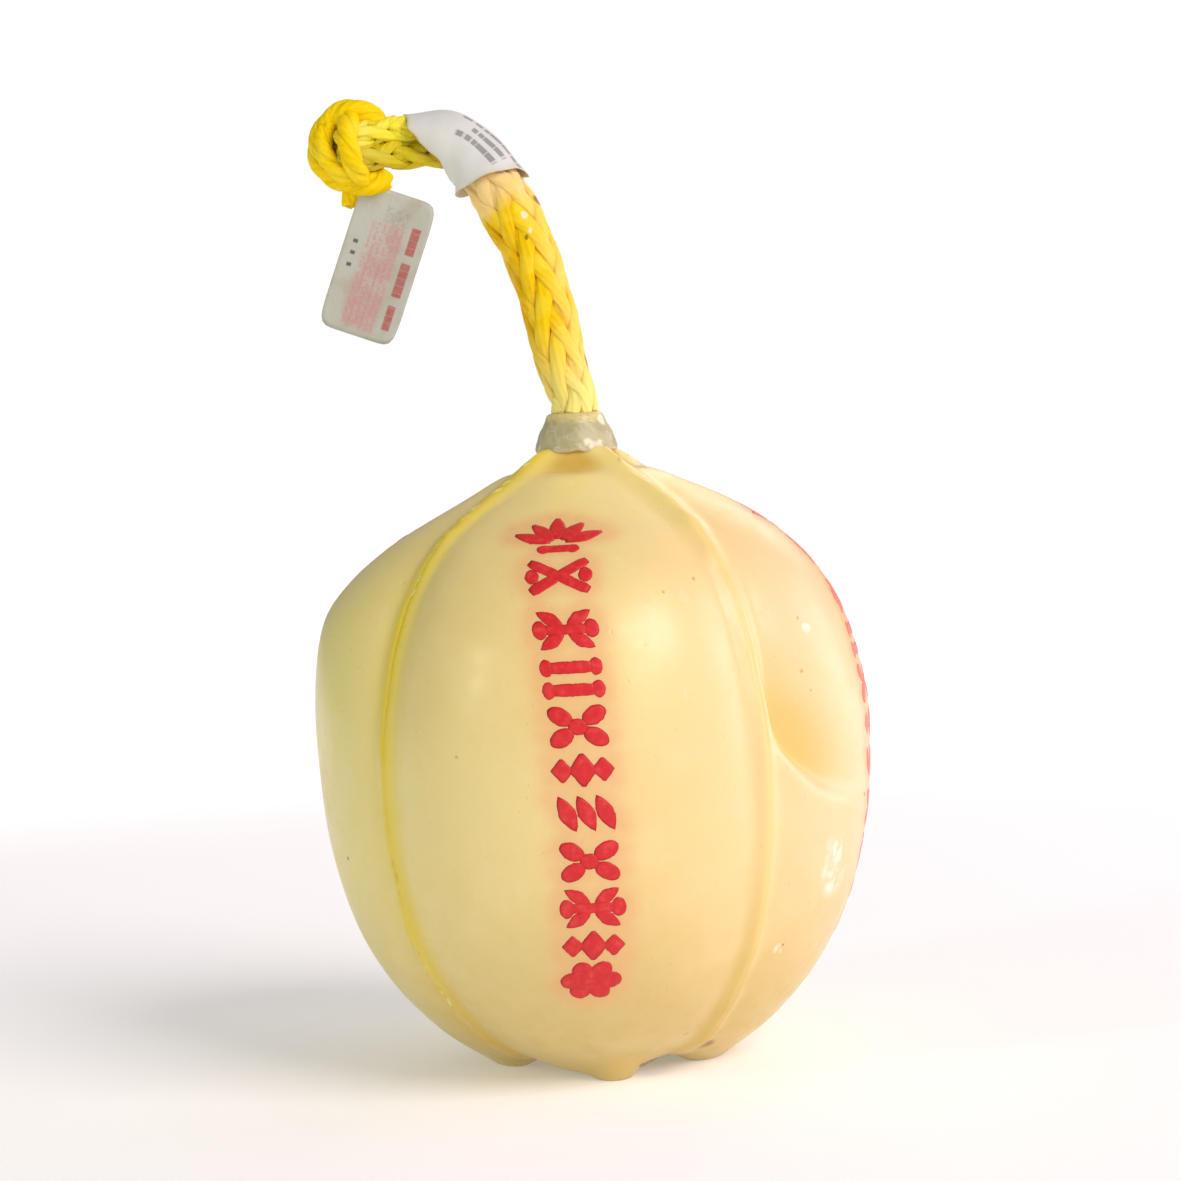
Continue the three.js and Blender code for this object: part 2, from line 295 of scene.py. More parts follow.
class Paint(Nodes):
    """A material, with constants on its shader's own sockets and wires for the rest."""

    def __init__(self, name, **constants):
        self.material = bpy.data.materials.new(name)
        self.material.use_nodes = True
        super().__init__(self.material.node_tree)
        self.surface = self.tree.nodes["Principled BSDF"]
        for socket, value in constants.items():
            self.surface.inputs[socket.replace("_", " ")].default_value = value
        self.place = self.node("ShaderNodeTexCoord").outputs["Object"]

    def noise(self, size, detail=2.0, roughness=0.5, stretch=(1, 1, 1)):
        """Cloudy values round 0.5, whose blotches are about as big as size, in metres."""
        place = self.node("ShaderNodeMapping", {}, {"Vector": self.place, "Scale": stretch})
        values = {"Vector": place.outputs[0], "Scale": 1 / size, "Detail": detail,
                  "Roughness": roughness}
        return Wire(self, self.node("ShaderNodeTexNoise", {}, values).outputs["Fac"])

    def pores(self, size):
        """The distance to the nearest of many scattered points, as a share of their spacing."""
        values = {"Vector": self.place, "Scale": 1 / size}
        return Wire(self, self.node("ShaderNodeTexVoronoi", {}, values).outputs["Distance"])

    def attribute(self, name):
        return Wire(self, self.node("ShaderNodeAttribute", {"attribute_name": name}).outputs["Fac"])

    def attribute_vector(self, name):
        return self.node("ShaderNodeAttribute", {"attribute_name": name}).outputs["Vector"]

    def axis(self, name, vector=None):
        """One of the three numbers of a place: X, Y or Z."""
        split = self.node("ShaderNodeSeparateXYZ", {}, {0: vector or self.place})
        return Wire(self, split.outputs[name])

    def step(self, value, low, high):
        """A smooth step from 0 at low to 1 at high. With low above high it falls."""
        first, last = (0.0, 1.0) if low < high else (1.0, 0.0)
        values = {"Value": value, "From Min": min(low, high), "From Max": max(low, high),
                  "To Min": first, "To Max": last}
        settings = {"interpolation_type": "SMOOTHSTEP"}
        return Wire(self, self.node("ShaderNodeMapRange", settings, values).outputs[0])

    def spot(self, point, radius, squash=(1, 1, 1)):
        """1 within a small blob round a point of the surface, 0 away from it."""
        scale = [1 / s for s in squash]
        shift = [-p * s for p, s in zip(point, scale)]
        values = {"Vector": self.place, "Location": shift, "Scale": scale}
        moved = self.node("ShaderNodeMapping", {}, values)
        length = self.node("ShaderNodeVectorMath", {"operation": "LENGTH"}, {0: moved.outputs[0]})
        return self.step(Wire(self, length.outputs["Value"]), radius * 1.25, radius * 0.6)

    def mix(self, amount, first, second):
        """The second colour over the first, by an amount from 0 to 1."""
        node = self.node("ShaderNodeMix", {"data_type": "RGBA"}, {0: amount, 6: first, 7: second})
        return node.outputs[2]

    def finish(self, colour, roughness=None, relief=None, depth=0.0, coat=None):
        """Wires up the surface. depth is how high the relief's 1 stands over its 0."""
        self.feed(self.surface.inputs["Base Color"], colour)
        if roughness is not None:
            self.feed(self.surface.inputs["Roughness"], roughness)
        if coat is not None:
            self.feed(self.surface.inputs["Coat Weight"], coat)
        if relief is not None:
            raised = self.node("ShaderNodeBump", {}, {"Distance": depth, "Height": relief})
            self.feed(self.surface.inputs["Normal"], raised.outputs[0])
        return self.material


def tint(red, green, blue):
    """A colour as a screen shows it, 0 to 255, made linear for a shader."""
    shares = [v / 255 for v in (red, green, blue)]
    return (*[s / 12.92 if s < 0.04045 else ((s + 0.055) / 1.055) ** 2.4 for s in shares], 1.0)


# %% [markdown]
# ## Meshes from grids
#
# Most pieces here are grids bent into shape: rows and columns of points, joined by quads.
# A closed grid wraps round in its columns, and its first and last rows may end in a point.

# %% Grids and meshes
def keep_values(mesh, label, values, kind="FLOAT", field="value"):
    """Values for each point of a mesh, kept by name."""
    layer = mesh.attributes.new(label, kind, "POINT")
    layer.data.foreach_set(field, np.asarray(values, np.float32).ravel())


def make_piece(name, points, faces, material=None, smooth=True, marks=None):
    """A mesh object at the origin. marks are values for each point, kept by name."""
    mesh = bpy.data.meshes.new(name)
    mesh.from_pydata(np.asarray(points, float).reshape(-1, 3).tolist(), [], faces)
    mesh.polygons.foreach_set("use_smooth", [smooth] * len(mesh.polygons))
    for label, values in (marks or {}).items():
        keep_values(mesh, label, values)
    mesh.validate()
    piece = bpy.data.objects.new(name, mesh)
    bpy.context.scene.collection.objects.link(piece)
    if material:
        mesh.materials.append(material)
    return piece


def grid_faces(rows, columns, first=0):
    """Quads of a grid that wraps round in its columns, with its points listed row by row."""
    faces = []
    for row in range(rows - 1):
        for column in range(columns):
            a = first + row * columns + column
            b = first + row * columns + (column + 1) % columns
            faces.append((a, b, b + columns, a + columns))
    return faces


def pole_faces(ring, pole, flip=False):
    """A fan of triangles from a ring of points to one point."""
    pairs = zip(ring, ring[1:] + ring[:1])
    return [(b, a, pole) if flip else (a, b, pole) for a, b in pairs]


# %% [markdown]
# ## The waxed skin: four lobes
#
# The body has two outlines, one along the crest of a lobe and one along the valley where
# a rope presses in. Everything between them is a blend. The lists repeat those of the
# solid, so the two agree, and the rest of this step adds what a solid this size leaves
# out: wax that has run over the ropes, and the sharp lip of the dent.

# %% The body's outlines
LOBES = 4
LOBE_ANGLE = 360 / LOBES
LOBE_FULLNESS = 2.4
CREST = MM * np.array([
    [13, 225], [14, 217], [18.5, 212.4], [27, 214.8], [41, 211], [57.5, 203.2], [72.5, 193.6],
    [86.5, 180.3], [96.5, 163.3], [101.6, 140], [102.3, 118], [99.8, 88], [92.3, 58], [80, 34],
    [64, 15.5], [49, 4.2], [37, -2.6], [26, 1.6], [12, 12], [0, 15.5],
])
VALLEY = MM * np.array([
    [13.5, 225], [17, 223.9], [22, 221.2], [29.4, 216.1], [39, 210.7], [50, 204.6], [62.5, 196],
    [74.5, 181.5], [83.5, 163], [90, 140], [92.8, 117], [91.8, 88], [85, 58], [71.5, 34],
    [55.5, 17], [44, 9.8], [33, 8], [23, 9.2], [11, 12.6], [0, 15.5],
])
# Wax has run down from the collar and half filled the hollow between the ropes.
NECK_FILL = MM * np.array([[0.3, 1.0], [1.4, 5.8], [2.4, 6.8], [1.6, 2.8], [0.4, 0.4]])
CREST[:5] += NECK_FILL
LOBE_LIFTS = MM * np.array([0, -5, 0, 6])
FULLEST = {"middle": 0.45, "width": 0.07, "share": 1.0}
SHOULDER = {"middle": 0.25, "width": 0.08, "share": -0.25}
TIP = {"azimuth": 8, "radius": 43 * MM, "width": 7 * MM, "reach": 24 * MM, "drop": 4.4 * MM,
       "raise": 4.0 * MM}


def bell(progress, shape):
    """A swelling of an outline round one progress."""
    return shape["share"] * bump((progress - shape["middle"]) / shape["width"])


def plain_skin(azimuth, progress):
    """Radius and height of the lobes alone, as in the solid. progress 0 is the neck."""
    lobe = np.round(azimuth / LOBE_ANGLE)
    fullness = 1 - np.abs(azimuth / LOBE_ANGLE - lobe) ** LOBE_FULLNESS * 2**LOBE_FULLNESS
    crest, valley = spline(CREST, progress), spline(VALLEY, progress)
    lifted = bell(progress, FULLEST) + bell(progress, SHOULDER)
    lift = LOBE_LIFTS[lobe.astype(int) % LOBES] * lifted
    radius = valley[..., 0] + (crest[..., 0] - valley[..., 0]) * fullness
    height = valley[..., 1] + (crest[..., 1] + lift - valley[..., 1]) * fullness
    aside = radius * np.sin(np.radians(azimuth - TIP["azimuth"])) / TIP["width"]
    outwards = (radius - TIP["radius"]) / TIP["width"]
    tip = TIP["raise"] - (TIP["raise"] + TIP["drop"]) * bump(aside) * bump(outwards)
    low = fullness * bump(height / TIP["reach"])
    return radius, height + np.where(lobe % LOBES == 0, low * tip, 0)


# %% [markdown]
# ## Wax over the ropes, and the dent
#
# Each valley holds half of its rope, and wax has filled the corners on both sides. Where
# there was little wax the rope shows as a deep yellow line, and where there was more only
# a soft pale ridge is left of it. The dent was pressed in by a neighbour in the same box.
# It drops off a sharp lip that curves like the edge of a plate, and fades out on the far
# side.

# %% What is added to the lobes
NECK_PROGRESS = 0.17
VALLEY_AZIMUTHS = (45, 135, 225, 315)
# For each valley: how high the wax stands over the rope's middle line, and how wide.
WAX_OVER_ROPE = {
    45: {"height": 4.0 * MM, "width": 4.6 * MM},
    135: {"height": 2.4 * MM, "width": 3.4 * MM},
    225: {"height": 3.8 * MM, "width": 4.4 * MM},
    315: {"height": 2.6 * MM, "width": 4.0 * MM},
}
NECK_WAX = {"height": 2.6 * MM, "width": 6.0 * MM}
FOOT_WAX = {"height": 3.2 * MM, "width": 3.9 * MM}  # at most this much, near the feet
# The dent's lip is part of a circle beside the rope at 45 degrees, and ends before the back.
DENT = {"azimuth": 45, "across": 52 * MM, "height": 152 * MM, "radius": 55.5 * MM,
        "depth": 8.0 * MM}
DENT_END = 120 * MM
DENT_HEADING, DENT_SPREAD = -139, 36  # degrees: where it is deepest, and how far that spreads
DENT_EDGE, DENT_REACH = 6.5 * MM, 19 * MM
DENT_LIP = {"height": 0.1, "middle": -3 * MM, "width": 4 * MM}
SWELL_HEIGHT, RIPPLE_HEIGHT = 0.16 * MM, 0.09 * MM
SLOPE_STEP = 0.004  # of the progress, on both sides of the place where a slope is wanted


def rope_wax(azimuth, progress, radius):
    """How far the wax that covers the ropes stands out of the valleys."""
    total = np.zeros_like(radius)
    neck = rise_between(NECK_PROGRESS + 0.1, NECK_PROGRESS - 0.05, progress)
    low, under = rise_between(0.5, 0.68, progress), rise_between(0.9, 0.8, progress)
    for valley in VALLEY_AZIMUTHS:
        amount = WAX_OVER_ROPE[valley]
        aside = radius * np.radians(degrees_aside(azimuth, valley))
        height, width = (amount[side] + (NECK_WAX[side] - amount[side]) * neck
                         - max(amount[side] - FOOT_WAX[side], 0) * low
                         for side in ("height", "width"))
        runs = 0.05 * np.sin(progress * 61 + valley) + 0.04 * np.sin(progress * 143 + 2 * valley)
        total += height * (1 + runs * (1 - neck)) * bump(aside / width) * under
    return total


def dent_depth(azimuth, height, radius):
    """How deep the dent is, below zero on the lip that stands up round it."""
    from_rope = radius * np.radians(degrees_aside(azimuth, DENT["azimuth"]))
    aside = from_rope - DENT["across"]
    above = height - DENT["height"]
    inside = DENT["radius"] - np.hypot(aside, above)
    heading = np.arctan2(above, aside)
    window = bump(degrees_aside(np.degrees(heading), DENT_HEADING) / DENT_SPREAD)
    fading = bump(np.maximum(inside - DENT_EDGE, 0) / DENT_REACH)
    bowl = rise_between(-1 * MM, DENT_EDGE, inside) * fading
    lip = DENT_LIP["height"] * bump((inside - DENT_LIP["middle"]) / DENT_LIP["width"])
    clear = rise_between(1 * MM, 8 * MM, from_rope)
    return np.where(np.abs(aside) < DENT_END, DENT["depth"] * window * (bowl - lip) * clear, 0)


def slow_waves(azimuth, height):
    """The skin is never quite even: shallow swells a few centimetres long."""
    turn = np.radians(azimuth)
    swell = np.sin(3 * turn + 31 * height) + 0.8 * np.sin(7 * turn - 47 * height + 1.3)
    ripple = np.sin(13 * turn + 90 * height + 0.4) * np.sin(74 * height - 5 * turn)
    return SWELL_HEIGHT * swell + RIPPLE_HEIGHT * ripple


def skin(azimuth, progress, proud=0.0):
    """Points of the dressed skin, or of a layer that stands proud of it."""
    azimuth, progress = np.broadcast_arrays(np.asarray(azimuth, float), np.asarray(progress, float))
    radius, height = plain_skin(azimuth, progress)
    calm = rise_between(0.06, 0.2, progress) * rise_between(0.8, 0.7, progress)
    out = rope_wax(azimuth, progress, radius) - dent_depth(azimuth, height, radius)
    out = out + slow_waves(azimuth, height) * calm + proud
    slope = spline_slope(progress)
    radius = np.maximum(radius + out * slope[..., 0], 0)
    height = np.maximum(height + out * slope[..., 1], 0)
    turn = np.radians(azimuth)
    return np.stack([radius * np.sin(turn), -radius * np.cos(turn), height], axis=-1)


def spline_slope(progress):
    """The outward direction, as radius and height, square to the mean outline."""
    mean = (CREST + 2 * VALLEY) / 3
    after, before = (np.clip(progress + step, 0, 1) for step in (SLOPE_STEP, -SLOPE_STEP))
    along = spline(mean, after) - spline(mean, before)
    along /= np.maximum(np.linalg.norm(along, axis=-1, keepdims=True), 1e-9)
    return np.stack([-along[..., 1], along[..., 0]], axis=-1)


# %% [markdown]
# ## The stamp's place
#
# A roller printed a column down each lobe, never quite straight. Two lines say where the
# middle of the print runs, one for the front lobe and one for the lobe on its right, and
# the others reuse the first. From a place on the print, `on_print` finds the point on the
# skin.

# %% The print's middle lines
PRINT_PROGRESS = [0.26, 0.30, 0.355, 0.42, 0.46, 0.50, 0.55, 0.61, 0.64, 0.67]
FRONT_LINE = [-2.0, -1.0, 0.0, 2.0, 3.0, 3.6, 4.1, 4.2, 3.6, 2.0]
RIGHT_LINE = [9.0, 7.5, 4.0, -0.5, -2.5, -2.5, -0.5, 3.0, 4.0, 4.0]
PRINT_LINES = {0: (0, FRONT_LINE), 1: (90, RIGHT_LINE), 2: (180, FRONT_LINE),
               3: (264.5, FRONT_LINE)}
# Progress at the top of the print, how far above it the table starts, and where it ends.
PRINT_START, PRINT_LEAD, PRINT_LAST = 0.283, 0.07, 0.7
PRINT_STEPS = 220


def print_scale(lobe):
    """Progress against distance down the print, by walking along it from a little above."""
    base, line = PRINT_LINES[lobe]
    progress = np.linspace(PRINT_START - PRINT_LEAD, PRINT_LAST, PRINT_STEPS)
    points = skin(base + np.interp(progress, PRINT_PROGRESS, line), progress)
    gone = np.concatenate([[0], np.cumsum(np.linalg.norm(np.diff(points, axis=0), axis=1))])
    return progress, gone - np.interp(PRINT_START, progress, gone)


PRINT_SCALES = {lobe: print_scale(lobe) for lobe in PRINT_LINES}


def on_print(lobe, across, down, proud):
    """Points on a lobe's print: metres to the right and down from the top of the column."""
    progress, gone = PRINT_SCALES[lobe]
    base, line = PRINT_LINES[lobe]
    here = np.interp(down, gone, progress)
    middle = base + np.interp(here, PRINT_PROGRESS, line)
    radius, _ = plain_skin(middle, here)
    return skin(middle + np.degrees(across / radius), here, proud)


print("front print:", round(PRINT_SCALES[0][1][-1] / MM), "mm of skin below its top")

# %% [markdown]
# ## What the stamp prints
#
# The column is a run of plain traditional ornaments: a palmette at the top, then
# sprigs, lozenges, leaves, rosettes and paired bars, and a filled rosette at the foot.
# Every figure is made of blots, and a blot is one closed outline: a superellipse. Its power
# makes it a lozenge, a leaf, an oval or a bar, so its place, its size, its lean and a power
# describe any of them.

# %% Figures of the stamp
OVAL, LEAF, LOZENGE, BAR = 2.0, 1.35, 1.05, 7.0  # powers


def blot(x, y, half_width, half_height, lean=0.0, power=OVAL):
    """One blot, in millimetres and degrees, in the figure's own square."""
    return {"x": x, "y": y, "a": half_width, "b": half_height, "lean": lean, "power": power}


def both(make):
    """The same blot on the left and on the right."""
    return [make(-1), make(1)]


def four(make):
    """The same blot in all four corners."""
    return [make(s, t) for s in (-1, 1) for t in (-1, 1)]


def palmette():
    """Five leaves that fan out from a short bar."""
    leaves = []
    for turn, reach in ((0, 7.4), (38, 7.0), (-38, 7.0), (72, 8.0), (-72, 8.0)):
        out, up = math.sin(math.radians(turn)), math.cos(math.radians(turn))
        leaves.append(blot(1.2 * reach * out, 6.4 - 1.2 * reach * up, 3.0, reach, turn, LEAF))
    return leaves + both(lambda s: blot(5.2 * s, 9.6, 2.4, 2.2)) + [blot(0, 9.4, 5.6, 1.9, 0, BAR)]


def large_lozenge():
    sides = four(lambda s, t: blot(5.0 * s, 3.4 * t, 6.4, 2.2, 34 * s * t, BAR))
    return sides + both(lambda s: blot(9.4 * s, 0, 2.5, 3.4)) + [blot(0, 0, 3.4, 2.4, 0, LOZENGE)]


def sprig():
    leaves = four(lambda s, t: blot(5.0 * s, 4.2 * t, 5.3, 2.5, 32 * s * t, LEAF))
    return leaves + both(lambda s: blot(9.0 * s, 0, 2.6, 3.6)) + [blot(0, 0, 9.0, 1.9, 0, BAR)]


def rosette():
    petals = four(lambda s, t: blot(5.9 * s, 3.7 * t, 4.7, 3.1, 30 * s * t))
    return petals + [blot(0, 0, 3.4, 2.9)]


def paired_bars():
    bars = both(lambda s: blot(0, 3.9 * s, 8.6, 2.2, 0, BAR))
    return bars + four(lambda s, t: blot(8.6 * s, 3.9 * t, 2.3, 3.1))


def small_lozenges():
    sides = both(lambda s: blot(7.1 * s, 0, 4.0, 4.6, 0, LOZENGE))
    return sides + [blot(0, 0, 5.0, 6.6, 0, LOZENGE)]


def leaning_leaves():
    return [blot(6.6 * s, 0, 7.0, 3.1, 66, LEAF) for s in (-1, 0, 1)]


def foot_rosette():
    petals = [blot(6.4 * math.cos(t), 4.6 * math.sin(t), 4.3, 3.7, math.degrees(t))
              for t in (math.radians(60 * k) for k in range(6))]
    return [blot(0, 0, 7.4, 5.4), *petals]


# The figures from the top down, each with the place of its middle in millimetres.
COLUMN = [
    (palmette, 0.5), (large_lozenge, 23.5), (sprig, 45.5), (paired_bars, 63), (rosette, 79.5),
    (small_lozenges, 94.5), (leaning_leaves, 109.5), (rosette, 126.5), (sprig, 143.5),
    (small_lozenges, 158), (foot_rosette, 172.5),
]
SPOKES, RINGS = 26, 4
INK_HEIGHT, INK_ROOT = 0.13 * MM, 0.35 * MM
EDGE_LUCK, ROOT_SHARE = 0.07, 0.9


def superellipse(turn, half_width, half_height, power):
    """How far its edge is from its middle in a direction."""
    across, up = np.abs(np.cos(turn) / half_width), np.abs(np.sin(turn) / half_height)
    return (across**power + up**power) ** (-1 / power)


def blot_outline(shape, generator):
    """Places round a blot's edge, slightly uneven as ink is."""
    turn = np.linspace(0, 2 * math.pi, SPOKES, endpoint=False)
    reach = superellipse(turn, shape["a"], shape["b"], shape["power"])
    reach = reach + generator.normal(0, EDGE_LUCK, SPOKES)
    lean = math.radians(shape["lean"])
    x, y = reach * np.cos(turn), reach * np.sin(turn)
    return x * math.cos(lean) - y * math.sin(lean), x * math.sin(lean) + y * math.cos(lean)


def print_blots(lobe, generator):
    """All the blots of one lobe's column: points, faces, and how near the rim each point is."""
    points, faces, rims = [], [], []
    for figure, middle in COLUMN:
        for shape in figure():
            x, y = blot_outline(shape, generator)
            first = len(points)
            for ring in range(RINGS, 0, -1):
                share = ring / RINGS
                across = MM * (shape["x"] + share * x)
                down = MM * (middle + shape["y"] + share * y)
                proud = INK_HEIGHT * (1 - share**6)
                points.extend(on_print(lobe, across, down, proud))
                rims += [share] * SPOKES
            centre = MM * np.array([[shape["x"]], [middle + shape["y"]]])
            points.extend(on_print(lobe, centre[0], centre[1], INK_HEIGHT))
            across = MM * (shape["x"] + ROOT_SHARE * x)
            down = MM * (middle + shape["y"] + ROOT_SHARE * y)
            points.extend(on_print(lobe, across, down, -INK_ROOT))
            rims += [0.0] + [1.0] * SPOKES
            top = first + RINGS * SPOKES
            foot = list(range(top + 1, top + 1 + SPOKES))
            faces += [face[::-1] for face in grid_faces(RINGS, SPOKES, first)]
            faces += pole_faces(list(range(top - SPOKES, top)), top, flip=True)
            rim = list(range(first, first + SPOKES))
            walls = zip(rim, rim[1:] + rim[:1], foot, foot[1:] + foot[:1])
            faces += [(a, b, d, c) for a, b, c, d in walls]
            faces.append(tuple(foot))
    return points, faces, rims


# %% [markdown]
# ## The skin's mesh
#
# The skin is one closed grid from the neck down to the hollow between the feet. Its
# columns crowd together in the valleys, where the ropes and their wax need fine steps,
# and spread out over the smooth crests. Four values are kept for each point, and the
# paint reads them: how near the ink is, how near a rope is, how deep in the neck's
# hollow and how far into the dent.

# %% Build the skin
SKIN_ROWS, SKIN_COLUMNS = 236, 400
NECK_TOP = 225 * MM
HALO = 4.2 * MM
ROPE_GLOW = 8.0 * MM
THIN_WAX, THICK_WAX = 2.4 * MM, 3.4 * MM  # the thin lets all the dye through, the thick little


def crowded_azimuths(count):
    """Azimuths all round, from 0.3 to 1.35 of an even step apart."""
    lobe_share = np.arange(count) / count * LOBES
    lobe = np.round(lobe_share)
    aside = 2 * (lobe_share - lobe)
    return LOBE_ANGLE * (lobe + 0.5 * aside * (1.35 - 0.35 * aside**2))


def ink_nearness(azimuth, progress, radius):
    """1 on the print and fading away from it, from the figures' own boxes."""
    near = np.zeros_like(radius)
    for lobe, (base, line) in PRINT_LINES.items():
        table, gone = PRINT_SCALES[lobe]
        middle = base + np.interp(progress, PRINT_PROGRESS, line)
        across = radius * np.radians(degrees_aside(azimuth, middle))
        down = np.interp(progress, table, gone, left=-1, right=1)
        for figure, place in COLUMN:
            for shape in figure():
                x, y = across - MM * shape["x"], down - MM * (place + shape["y"])
                lean = math.radians(shape["lean"])
                u = np.abs(x * math.cos(lean) + y * math.sin(lean)) - MM * shape["a"]
                v = np.abs(-x * math.sin(lean) + y * math.cos(lean)) - MM * shape["b"]
                gap = np.hypot(np.maximum(u, 0), np.maximum(v, 0))
                near = np.maximum(near, bump(gap / HALO) * (down >= -20 * MM))
    return near


def rope_nearness(azimuth, radius):
    """The dye's stain, which shows the more the thinner the wax over the rope is; low down it also
    places painted shade in the creases.
    """
    near = np.zeros_like(radius)
    for valley in VALLEY_AZIMUTHS:
        aside = radius * np.radians(degrees_aside(azimuth, valley))
        thin = rise_between(1 / THICK_WAX, 1 / THIN_WAX, 1 / WAX_OVER_ROPE[valley]["height"])
        glow = (bump(aside / ROPE_GLOW) + bump(2.4 * aside / ROPE_GLOW)) / 2
        near = np.maximum(near, (0.2 + 0.8 * thin) * glow)
    return near


def build_skin():
    azimuths = crowded_azimuths(SKIN_COLUMNS)
    progress = np.linspace(0, 1, SKIN_ROWS + 1)[:-1]
    azimuth, progress = np.meshgrid(azimuths, progress)
    points = skin(azimuth, progress)
    radius, height = plain_skin(azimuth, progress)
    clear_of_rope = rise_between(3.4 * MM, -1.5 * MM, rope_wax(azimuth, progress, radius))
    neck = rise_between(0.2, 0.06, progress) * clear_of_rope
    marks = {
        "ink": ink_nearness(azimuth, progress, radius),
        "rope": rope_nearness(azimuth, radius),
        "neck": neck,
        "dent": np.maximum(dent_depth(azimuth, height, radius), 0) / DENT["depth"],
    }
    top, bottom = [0, 0, NECK_TOP], [0, 0, CREST[-1][1]]
    everything = np.concatenate([points.reshape(-1, 3), [top, bottom]])
    count = points.shape[0] * SKIN_COLUMNS
    faces = grid_faces(points.shape[0], SKIN_COLUMNS)
    faces = [face[::-1] for face in faces]
    faces += pole_faces(list(range(SKIN_COLUMNS)), count)
    faces += pole_faces(list(range(count - SKIN_COLUMNS, count)), count + 1, flip=True)
    marks = {name: np.concatenate([values.ravel(), [0, 0]]) for name, values in marks.items()}
    return make_piece("cheese_skin", everything, faces, marks=marks)


cheese_skin = build_skin()
print("skin:", len(cheese_skin.data.polygons), "faces")

# %% [markdown]
# ## The finish of the waxed skin
#
# The wax is a thin pale coat over a cream-yellow curd, so light goes a little way in and
# comes out warm: that is subsurface scattering, kept small. Over it lie slow clouds of
# colour, a deeper yellow where the ropes' dye has bled, a pink veil round the stamp, tiny
# pores, a few dark specks, a bruise over one foot, and white scuffs, the largest with runs
# below it. Light and shade are painted into the colour as well: a rosy tint on the lit right
# side and a greenish one on the shaded left, a darker tan towards the bottom, and ochre
# shade in the hollow at the neck, in the creases by the ropes near the bottom and inside
# the dent. The gloss is broken up by a faint haze.

# %% Wax, its clouds and its marks
CREAM, STRAW, PALE_WAX = tint(240, 219, 148), tint(234, 207, 130), tint(246, 229, 172)
ROPE_YELLOW, OCHRE_SHADE, LOW_SHADE_TAN = tint(230, 204, 24), tint(208, 166, 48), tint(186, 160, 82)
INK_VEIL, DENT_SHADE = tint(238, 176, 120), tint(232, 194, 92)
# The rosy and the green tint are painted light and shade, for the lit right side and the shaded
# left side.
ROSY_LIGHT_TINT, GREEN_SHADE_TINT, NECK_CREAM = tint(250, 207, 170), tint(226, 222, 130), tint(254, 236, 150)
SPECK, SCUFF = tint(96, 70, 40), tint(252, 246, 228)
PIT_FLOOR, BRUISE = tint(204, 146, 56), tint(140, 96, 44)

# Marks as azimuth, height and radius: dark specks, pits with an orange floor, white scuffs
# and dark cuts.
SPECKS = [(-47, 42.6, 1.0), (-63.5, 84.6, 0.8), (20.5, 4.5, 1.2), (81, 96, 0.9),
          (55.5, 47.7, 0.6), (140, 66, 0.9), (203, 118, 1.0), (-121, 150, 0.8)]
PITS = [(24.5, 178, 0.6), (34.5, 181, 0.8), (61.5, 164, 0.7), (59, 145, 0.8), (61, 138, 0.5),
        (-22, 125, 0.6), (33.5, 17, 1.2), (118, 171, 1.2), (169, 96, 1.0), (241, 60, 1.1),
        (-100, 118, 0.8)]
SCUFFS = [(55, 46, 3.0), (31, 176, 3.4), (27, 143, 3.0), (63, 160, 2.4), (150, 120, 4.0),
          (-118, 92, 3.4)]
CUTS = [(27, 3.0, 5.5), (33, 5.0, 4.0), (152, 4.0, 4.5)]
FOOT_BRUISE, LARGE_SCUFF = (51, 9, 3.6), (68, 79, 9.0)


def on_skin(azimuth, height):
    """The place on the skin at an azimuth and a height in millimetres."""
    progress = np.linspace(0.26, 0.82, 400)
    line = skin(float(azimuth), progress)
    return line[np.argmin(np.abs(line[:, 2] - height * MM))]


def add_marks(paint, marks, squash=(1, 1, 1)):
    """All of a list of marks as one wire."""
    total = 0.0
    for azimuth, height, radius in marks:
        total = paint.spot(on_skin(azimuth, height), radius * MM, squash) + total
    return total


